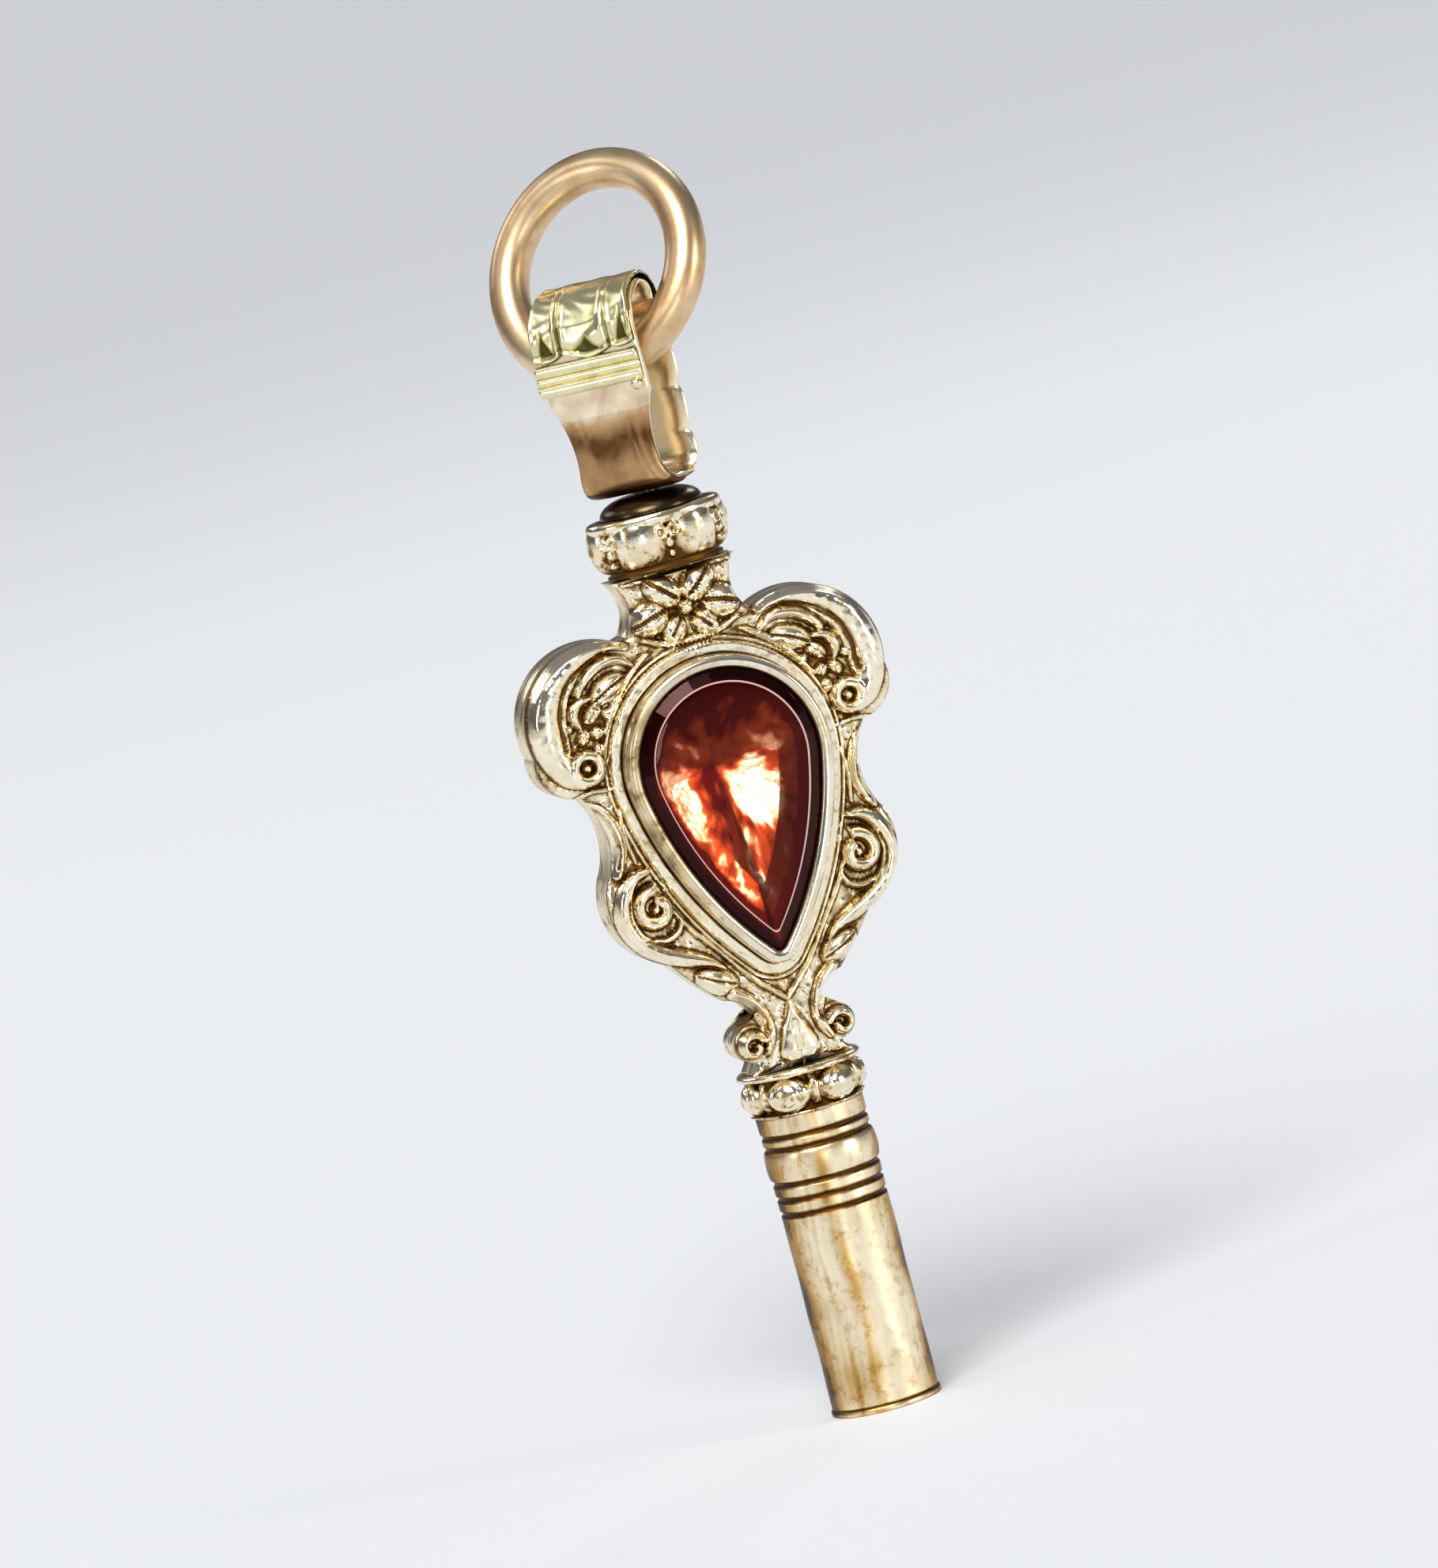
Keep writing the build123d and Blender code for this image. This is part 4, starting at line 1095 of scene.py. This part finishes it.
# %% [markdown]
# ## Washer and rivet
# A domed washer lies between bail and crown, and the headed rivet through it lets the bail
# turn. Both are plain turned work: the dome is a quarter of an oval, turned.

# %% Washer and rivet
# Brass gone brown-black in the gap that no cloth reaches, and made darker still as painted
# shade of that gap: dark, with a low satin shine.
dome_oxide_and_painted_shade = worn_metal(
    "brass_dome_oxide_and_painted_shade", "#5E4C36", "#2E2419", "#150F0A", smooth=0.2, rough=0.45,
    cloud=1.0, tarnish_and_painted_light=False)
dome_angle = np.linspace(0, math.pi / 2, 14)
dome_line = np.stack([0.5 + 0.94 * np.cos(dome_angle), 25.42 + 0.47 * np.sin(dome_angle)], 1)
washer = turned([(crown_bore, crown_top), (1.42, crown_top), *dome_line, (crown_bore, 25.89),
                 (crown_bore, crown_top)])
add_piece("swivel_washer", washer, "key", ["swivel_dome"], dome_oxide_and_painted_shade, sharp=50)
rivet_foot, rivet_neck = 23.0, 26.34
rivet = turned([(0, rivet_foot), (0.34, rivet_foot), (0.34, rivet_neck), (0.48, rivet_neck),
                (0.5, 26.4), (0.47, 26.52), (0.36, 26.62), (0.2, 26.66), (0, 26.67)], 64)
add_piece("swivel_rivet_turned", rivet, "key", ["swivel_rivet"], dome_oxide_and_painted_shade, sharp=50)

# %% [markdown]
# ## Bail
# The bail is a loop of strap bent round and held by the rivet. A bevelled curve would keep one
# width all along, so a section is carried along the loop instead, and its width follows the
# height: waisted in front, lobed along its back edges. The loop is drawn in its own
# directions, outwards from its middle and across, then turned.

# %% Loop of the bail
bail_turn = math.radians(41)
outward = np.array([-math.sin(bail_turn), -math.cos(bail_turn), 0])
across = np.array([math.cos(bail_turn), -math.sin(bail_turn), 0])
bail_foot, bail_height, loop_depth, strap = 25.95, 5.75, 2.63, 0.33
bail_top = bail_foot + bail_height
loop_half, foot_half, heel_round = loop_depth / 2, 1.2, 0.75
# Middles of the round top and of the two heels
top_height, heel_height, heel_out = (
    bail_top - loop_half, bail_foot + heel_round, foot_half - heel_round)
rise = top_height - heel_height
leg_slope = math.asin((loop_half - heel_round) / math.hypot(heel_out, rise)) - math.atan2(
    heel_out, rise)


def loop_line(grow):
    """The loop seen from its side, grown outwards: (outwards, height) and its outward normal,
    anticlockwise from the middle of its foot.

    The legs are the common tangents of the round top and of the two small heel circles.
    """
    top_radius, heel_radius = loop_half + grow, heel_round + grow
    arcs = []
    for middle_out, middle_height, bend, first, last, count in (
            (heel_out, heel_height, heel_radius, -math.pi / 2, -leg_slope, 22),
            (0, top_height, top_radius, -leg_slope, math.pi + leg_slope, 66),
            (-heel_out, heel_height, heel_radius, math.pi + leg_slope, 1.5 * math.pi, 22)):
        a = np.linspace(first, last, count)
        arcs.append(np.stack([middle_out + bend * np.cos(a), middle_height + bend * np.sin(a),
                              np.cos(a), np.sin(a)], 1))
    legs = np.linspace(0, 1, 90)[1:-1, None]
    rising = arcs[0][-1] + (arcs[1][0] - arcs[0][-1]) * legs
    falling = arcs[1][-1] + (arcs[2][0] - arcs[1][-1]) * legs
    foot = np.linspace(0, heel_out, 8)
    under = np.stack([foot, 0 * foot + bail_foot - grow, 0 * foot, 0 * foot - 1], 1)
    return np.concatenate([under[:-1], arcs[0], rising, arcs[1], falling, arcs[2],
                           (under * (-1, 1, 1, 1))[-2:0:-1]])


def in_bail(out, side, height):
    """Points of the bail's own directions as places in the frame."""
    return out[..., None] * outward + side[..., None] * across + height[..., None] * (0, 0, 1)


print("loop", lengths(loop_line(0.0)[:, :2])[-1].round(2), "mm long, legs lean",
      round(math.degrees(leg_slope), 1), "degrees")

# %% Width of the strap
front_waist = arc_through((1.5, 0.0), (1.22, 0.21 * bail_height), (1.58, 0.48 * bail_height))
lobe_ends = np.array([0.05, 0.22, 0.435, 0.65, 0.86])
brow_share, brow_half, top_half, back_half = 0.86, 1.58, 1.48, 1.14


def strap_half(out, height):
    """Half width of the strap: waisted in front, lobed at the back, even over the top."""
    share = np.clip((height - bail_foot) / bail_height, 0, 1)
    over = share > brow_share
    front = np.interp(share * bail_height, front_waist[:, 1], front_waist[:, 0])
    front = np.where(over, np.interp(share, [brow_share, 1.0], [brow_half, top_half]), front)
    lobes = np.interp(share, lobe_ends, np.arange(5))
    back_leg = back_half + 0.16 * round_top(2 * (lobes % 1) - 1)
    back_leg = np.where(share < lobe_ends[0],
                        np.interp(share, [0, lobe_ends[0]], [1.5, back_half]), back_leg)
    back_leg = np.where(over, np.interp(share, [brow_share, 1], [back_half, top_half]), back_leg)
    weight = np.clip(out / 0.5 + 0.5, 0, 1)
    return back_leg + (front - back_leg) * weight


print("half width at the front waist:",
      strap_half(np.array([1.2]), np.array([bail_foot + 0.21 * bail_height])).round(2), "mm")

# %% Finish of the strap
# Rose gold strip, rolled, bent and worn: a soft satin with a pinkish brown in clouds of
# tarnish and in painted shade down the front leg, and no sharp mirror anywhere.
strap_gilt = worn_metal(
    "rose_gold_strap_satin_worn", "#F8EACE", "#BE9668", "#644224", smooth=0.2, rough=0.42,
    cloud=1.5, cloud_share=0.4)


# %% Strap
def strap_section(count=96):
    """Section of the strap: a flat bar with rounded edges, as shares of half width and of
    half thickness, closed. Cosine and sine are raised to small powers, which squares them."""
    a = np.linspace(0, 2 * math.pi, count, endpoint=False)
    c, s = np.cos(a), np.sin(a)
    return np.sign(c) * np.abs(c) ** 0.3, np.sign(s) * np.abs(s) ** 0.55


loop = loop_line(-strap / 2)
side_share, thick_share = [share[None] for share in strap_section()]
loop_out, loop_height = loop[:, :1], loop[:, 1:2]
strap_side = strap_half(loop[:, 0], loop[:, 1])[:, None] * side_share
# The back leg thins towards its lobed edges
behind = np.clip(0.5 - loop_out / 0.5, 0, 1)
thick = (strap / 2) * thick_share * (1 - 0.65 * behind * side_share ** 4)
strap_grid = in_bail(
    loop_out + loop[:, 2:3] * thick, strap_side, loop_height + loop[:, 3:4] * thick)

# %% Painted shade and painted highlight on the strap
height_share = (loop_height - bail_foot) / bail_height
streaks = 0.5 + 0.5 * np.sin(19 * side_share + 3 * np.sin(7 * side_share + 9 * height_share))
sway = height_share + 0.03 * np.sin(3 * side_share + 1)
# Painted shade across the waist in front, which goes on down to the foot
painted_shade_height, in_front = 0.28, loop_out > 0
painted_waist_shade = 0.58 * np.exp(-((sway - painted_shade_height) / 0.09) ** 2) * (0.6 + 0.4 * streaks) \
    + 0.3 / (1 + np.exp((sway - painted_shade_height) / 0.03)) * (0.6 + 0.4 * streaks)
# The whole strap is painted a little darker below 0.4 of its height and its foot much darker:
# painted shade under the bend
strap_painted_light_and_shade = np.where(height_share > 0.4, 0.0, 0.1) + painted_waist_shade * in_front \
    + 0.5 * (height_share < 0.06)
# The inside of the loop is painted bright: a painted highlight where it would lie in shade
strap_painted_light_and_shade = np.where(thick_share < -0.2, -0.4, strap_painted_light_and_shade)
add_piece("bail_strap_bent", strap_grid, "bail", ["bail_strap"], strap_gilt,
          wrap=(True, True), colours={"tarnish_and_painted_light": strap_painted_light_and_shade})

# %% [markdown]
# ## Leaf and band on the bail
# A thin leaf is folded over the top of the loop. It has three uneven petals in front, each
# raised along its sides with a small cut triangle at its foot, and its hem is scalloped. A
# cloth simulation could crumple a sheet, but metal keeps the folds that it was given, so the
# leaf's lift over the loop is a sum of small forms. Below it a moulding of three ridges
# crosses the leg, with a bead soldered at one end.

# %% Finish of leaf and band
# Green gold, which is gold with silver in it, chased and burnished: a cool pale yellow beside
# the pink strap, with olive shade in its folds.
leaf_gilt = worn_metal(
    "green_gold_leaf_burnished", "#EFE6BC", "#CDC284", "#4E4822", smooth=0.26, rough=0.38,
    cloud=0.9, cloud_share=0.35)

# %% Leaf
leaf_half, leaf_drop, leaf_back, leaf_gap = 1.62, 1.6, 1.1, 0.02


def ridge(distance, half):
    """A soft ridge: 1 at distance 0, falling as a bell curve of this half width."""
    return np.exp(-(distance / half) ** 2)


def leaf_surface(rows=110, columns=120):
    """Closed leaf over the loop's line: its outer face, then its inner face.

    One parameter runs across, the other along the line from the hem in front, over the top,
    to the back edge. The outer face is lifted off the line by the sum of its forms.
    """
    line = loop_line(0.0)
    reach = lengths(line[:, :2])
    top = reach[np.argmax(line[:, 1])]
    front_length = (loop_half * (math.pi / 2 + leg_slope)
                    + (leaf_drop - loop_half * (1 + math.sin(leg_slope))) / math.cos(leg_slope))
    back_length = loop_half * math.acos(1 - leaf_back / loop_half)

    # Three petals of uneven width: bent counts them, petal is the place within one
    u = np.linspace(-1, 1, columns)
    bent = np.interp(u, [-1.0, -0.44, 0.54, 1.0], [-1.5, -0.5, 0.5, 1.5])
    petal = bent - np.round(bent)
    deep = np.interp(bent, [-1, 0, 1], [0.12, 0.2, 0.1])
    scallop = deep * (1 - (petal * 2) ** 2) + 0.03 * np.sin(5 * u)

    v = np.linspace(0, 1, rows)[:, None]
    start = top - front_length - scallop[None]
    along = start + (top + back_length - start) * v
    out, height, out_normal, height_normal = [np.interp(along, reach, line[:, i]) for i in range(4)]
    half = np.where(along < top, leaf_half,
                    np.interp(along - top, [0, back_length], [top_half, 1.16]))
    brow = bail_foot + brow_share * bail_height
    half = np.where((along < top) & (height > brow),
                    np.interp(height, [brow, bail_top], [leaf_half, top_half]), half)
    side = u[None] * half

    # Forms on the front, by the way up from the hem and the place within a petal
    drop = along - start
    front = np.clip((top - along) / 0.8, 0, 1)
    raised = 0.03 * ridge(np.abs(petal[None]) - 0.4, 0.06) * front
    tall = np.interp(bent, [-1, 0, 1], [0.75, 0.5, 0.95])[None]
    leaning = petal[None] - 0.12 * (drop - 0.2) * np.sign(bent + 0.4)[None]
    triangle = np.clip(3 * (1 - np.abs(leaning * 2) * 1.7 - (drop - 0.2) / tall), 0, 1) \
        * (drop > 0.2) * front
    cleft = 0.08 * ridge(np.abs(petal[None]) - 0.5, 0.04) * front \
        * np.clip(1.6 - drop / 1.1, 0, 1)
    hem = 0.045 * ridge(drop - 0.08, 0.06)
    crumple = 0.02 * np.sin(5 * side + 3 * np.sin(4 * drop)) * np.sin(6 * drop + 2 * side) \
        + 0.03 * np.sin(2.2 * side + 0.8) * np.sin(3.1 * drop) * front
    lift = 0.11 + raised - cleft + hem - 0.06 * triangle + crumple

    # All four edges round down to the strap
    end = np.clip(np.minimum(drop, top + back_length - along) / 0.05, 0, 1)
    side_end = np.clip((1 - np.abs(u[None])) / 0.03, 0, 1)
    for to_edge in (end, side_end):
        lift = leaf_gap + (lift - leaf_gap) * np.sqrt(1 - (1 - to_edge) ** 2)
    outer, inner = [in_bail(out + out_normal * up, side, height + height_normal * up)
                    for up in (lift, 0 * lift + leaf_gap)]

    # A line just above the hem is painted darker: painted shadow of the hem's lip
    hem_painted_shadow = ridge(drop - 0.19, 0.05) * front
    tarnish_and_painted_light = np.clip(0.9 * cleft / 0.08 + 0.85 * triangle + 0.45 * hem_painted_shadow, 0, 1)
    tarnish_and_painted_light = np.maximum(tarnish_and_painted_light, 1 - end)
    grid = np.concatenate([outer, inner[:, ::-1]], 1)
    return grid, np.concatenate([tarnish_and_painted_light, np.ones_like(tarnish_and_painted_light)], 1)


leaf, leaf_recess = leaf_surface()
add_piece("bail_leaf_chased", leaf, "bail", ["bail_leaf"], leaf_gilt,
          colours={"tarnish_and_painted_light": leaf_recess})

# %% Band
band_middle, leg_face = bail_foot + 0.61 * bail_height, loop_half - 0.01
band_low, band_high = band_middle - 0.45, band_middle + 0.45
ridge_turns = np.linspace(-math.pi / 2, math.pi / 2, 12)
band_profile = [(leg_face + 0.01, band_low)]
for middle, half_high, lift in ((band_low + 0.17, 0.17, 0.14), (band_middle, 0.11, 0.09),
                                (band_high - 0.17, 0.17, 0.14)):
    band_profile += [(leg_face + 0.06 + lift * math.cos(t), middle + half_high * math.sin(t))
                     for t in ridge_turns]
band_profile = np.array([*band_profile, (leg_face + 0.01, band_high)])
# Stations across the band: share of the half width, and size of the profile, which closes
# on a point at both ends
stations = np.concatenate([[-1.0, -1.0, -0.985], np.linspace(-0.97, 0.97, 40), [0.985, 1.0, 1.0]])
profile_size = np.concatenate([[0, 0.8, 0.96], np.ones(40), [0.96, 0.8, 0]])
profile_middle = np.array([leg_face + 0.05, (band_low + band_high) / 2])
band_points = profile_middle + (band_profile - profile_middle)[None] * profile_size[:, None, None]
band_out, band_heights = band_points[..., 0], band_points[..., 1]
band_recess = np.clip(1 - (band_out - leg_face) / 0.1, 0, 1)
add_piece("bail_band_ridged",
          in_bail(band_out, stations[:, None] * leaf_half + 0 * band_out, band_heights),
          "bail", ["bail_band"], leaf_gilt, colours={"tarnish_and_painted_light": band_recess})

# %% Bead
bead_radius = 0.17
ball_a = np.linspace(0, math.pi, 18)[:, None]
ball_b = np.linspace(0, 2 * math.pi, 28, endpoint=False)[None]
bead = in_bail(leg_face + bead_radius + bead_radius * np.cos(ball_a) + 0 * ball_b,
               1.41 + bead_radius * np.sin(ball_a) * np.cos(ball_b),
               band_low - 0.085 + bead_radius * np.sin(ball_a) * np.sin(ball_b))
add_piece("bail_bead", bead, "bail", [], leaf_gilt)

# %% [markdown]
# ## Hanging ring
# A plain ring of round wire. Its plane comes from the solid's own vertices: the direction in
# which they spread least is the ring's axis. Blender has a torus of its own, but a worked-out
# one can be a little worn: thinner inside, where it has rubbed in the bail, and never quite
# round.

# %% Ring
# Rose gold wire, bent, soldered and worn satin by years in the hand: broad soft highlights on
# copper-pink metal.
ring_gilt = worn_metal(
    "rose_gold_ring_satin", "#E8CEA6", "#C49A6C", "#8A6040", smooth=0.33, rough=0.44,
    cloud=1.9, cloud_share=0.5, tarnish_and_painted_light=False)
corners = np.array([v.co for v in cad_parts["hanging_ring"].data.vertices]) / MM
ring_centre = (corners.min(0) + corners.max(0)) / 2
ring_axis = np.linalg.svd(corners - corners.mean(0), full_matrices=False)[2][2]
ring_x = np.cross(ring_axis, (0, 0, 1.0))
ring_x /= np.linalg.norm(ring_x)
ring_y = np.cross(ring_axis, ring_x)
ring_reach = np.abs((corners - ring_centre) @ ring_x).max()
wire_radius = np.abs((corners - ring_centre) @ ring_axis).max()
round_ring = np.linspace(0, 2 * math.pi, 200, endpoint=False)[:, None]
round_wire = np.linspace(0, 2 * math.pi, 48, endpoint=False)[None]
worn_radius = wire_radius * (0.985 + 0.012 * np.sin(3 * round_ring + 1) * np.cos(2 * round_wire)
                             - 0.02 * np.cos(round_wire) ** 8)
from_middle = (ring_reach - wire_radius) + worn_radius * np.cos(round_wire)
ring = ring_centre + from_middle[..., None] * (
    np.cos(round_ring)[..., None] * ring_x + np.sin(round_ring)[..., None] * ring_y) \
    + (worn_radius * np.sin(round_wire))[..., None] * ring_axis
add_piece("hanging_ring_satin", ring, "ring", ["hanging_ring"], ring_gilt,
          wrap=(True, True))
print("ring reach", ring_reach.round(2), "wire radius", wire_radius.round(2))

# %% [markdown]
# ## Solids that stay in view
# Two solids are dressed as they are, since hardly any of them shows: the steel core, at the
# pipe's mouth and down its square socket, and the filling, inside the shells.

# %% Steel and filling
# Hardened steel, blacked in oil: dark grey with a dull sheen, so the socket reads as a hole.
socket_steel = worn_metal(
    "hardened_steel_oil_blacked", "#8E8A84", "#5B5751", "#2F2B28", smooth=0.3, rough=0.55,
    cloud=0.8, tarnish_and_painted_light=False)
# Lead alloy poured into the shells: flat grey, with the dullness of a skin of oxide.
cast_filling = worn_metal(
    "lead_alloy_filling_dull", "#8B8880", "#6F6B64", "#504C46", smooth=0.5, rough=0.7,
    cloud=1.0, tarnish_and_painted_light=False)
for node, material in (("pipe_core", socket_steel), ("body_fill", cast_filling)):
    for solid_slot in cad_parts[node].material_slots:
        solid_slot.material = material

# %% [markdown]
# ## Floor, surroundings and light
# The key stands on pale matt paper that runs out past the picture. A polished metal shows its
# surroundings, so these are designed as much as the key is: the sky is pale at the horizon and
# dark above it, which gives the dark lines between highlights. One wide lamp gives the soft
# shadow, and soft boxes give the highlights on gold and foil: low in front, on each side, high
# on the left, over the top, and two behind for the back.

# %% Floor
# Matt paper: no highlight at all, so it only carries the shadow.
floor_half = 6000.0
corner = floor_half * MM
floor_mesh = bpy.data.meshes.new("floor")
floor_mesh.from_pydata([(-corner, -corner, 0), (corner, -corner, 0), (corner, corner, 0),
                        (-corner, corner, 0)], [], [(0, 1, 2, 3)])
floor = bpy.data.objects.new("floor", floor_mesh)
bpy.context.scene.collection.objects.link(floor)
paper = bpy.data.materials.new("matt_paper_pale")
paper.use_nodes = True
paper_shader = paper.node_tree.nodes["Principled BSDF"].inputs
paper_shader["Base Color"].default_value = linear("#E6E8EB")
paper_shader["Roughness"].default_value = 1.0
paper_shader["Specular IOR Level"].default_value = 0.0
floor_mesh.materials.append(paper)
print("floor", 2 * floor_half * MM, "m across")

# %% Sky
world = bpy.data.worlds.new("studio")
bpy.context.scene.world = world
world.use_nodes = True
sky = world.node_tree
direction = add(sky, "ShaderNodeTexCoord").outputs["Generated"]
height_of = add(sky, "ShaderNodeSeparateXYZ", {"Vector": direction})
shade = ramp(sky, height_of.outputs["Z"], [(0.0, "#CDCFD3"), (0.03, "#C9CBCF"),
                                           (0.14, "#56575A"), (0.9, "#8E8F92")])
sky.links.new(shade.outputs["Color"], sky.nodes["Background"].inputs["Color"])
sky.nodes["Background"].inputs["Strength"].default_value = 1.0
print("sky in", len(shade.color_ramp.elements), "tones")


# %% Wide lamp
def towards(azimuth, elevation):
    """Unit vector from the key towards a direction in degrees, 0 being the front."""
    a, e = math.radians(azimuth), math.radians(elevation)
    return Vector((math.sin(a) * math.cos(e), -math.cos(a) * math.cos(e), math.sin(e)))


def hang(name, lamp, direction):
    """A lamp as an object that shines against a direction."""
    holder = bpy.data.objects.new(name, lamp)
    bpy.context.scene.collection.objects.link(holder)
    holder.rotation_mode = "QUATERNION"
    holder.rotation_quaternion = (-direction).to_track_quat("-Z", "Y")
    print(name, "from", [round(value, 2) for value in direction])
    return holder


wide_lamp = bpy.data.lights.new("wide_lamp", "SUN")
wide_lamp.energy, wide_lamp.angle = 2.5, math.radians(34)
hang("wide_lamp", wide_lamp, towards(-24, 44))


# %% Soft boxes
def soft_box(name, azimuth, elevation, distance, size, power, colour="#FFFFFF"):
    """A rectangular light aimed at the middle of the key, from a direction in degrees."""
    lamp = bpy.data.lights.new(name, "AREA")
    lamp.shape = "RECTANGLE"
    lamp.size, lamp.size_y = size[0] * MM, size[1] * MM
    lamp.energy = power
    lamp.color = linear(colour)[:3]
    direction = towards(azimuth, elevation)
    holder = hang(name, lamp, direction)
    holder.location = Vector(centre) * MM + direction * distance * MM
    holder.visible_camera = False


soft_box("box_front_low", -6, 2, 420, (88, 58), 0.13)
soft_box("box_right", 50, 8, 420, (84, 146), 0.48, "#FFF6EA")
soft_box("box_left", -70, 15, 420, (60, 120), 0.18)
soft_box("box_left_high", -95, 48, 420, (120, 110), 0.09)
soft_box("box_over", -25, 62, 420, (320, 200), 0.2)
soft_box("box_behind_left", -142, 32, 450, (190, 140), 0.2)
soft_box("box_behind_right", 140, 30, 450, (90, 90), 0.16)
bpy.context.scene.view_settings.view_transform = "Standard"
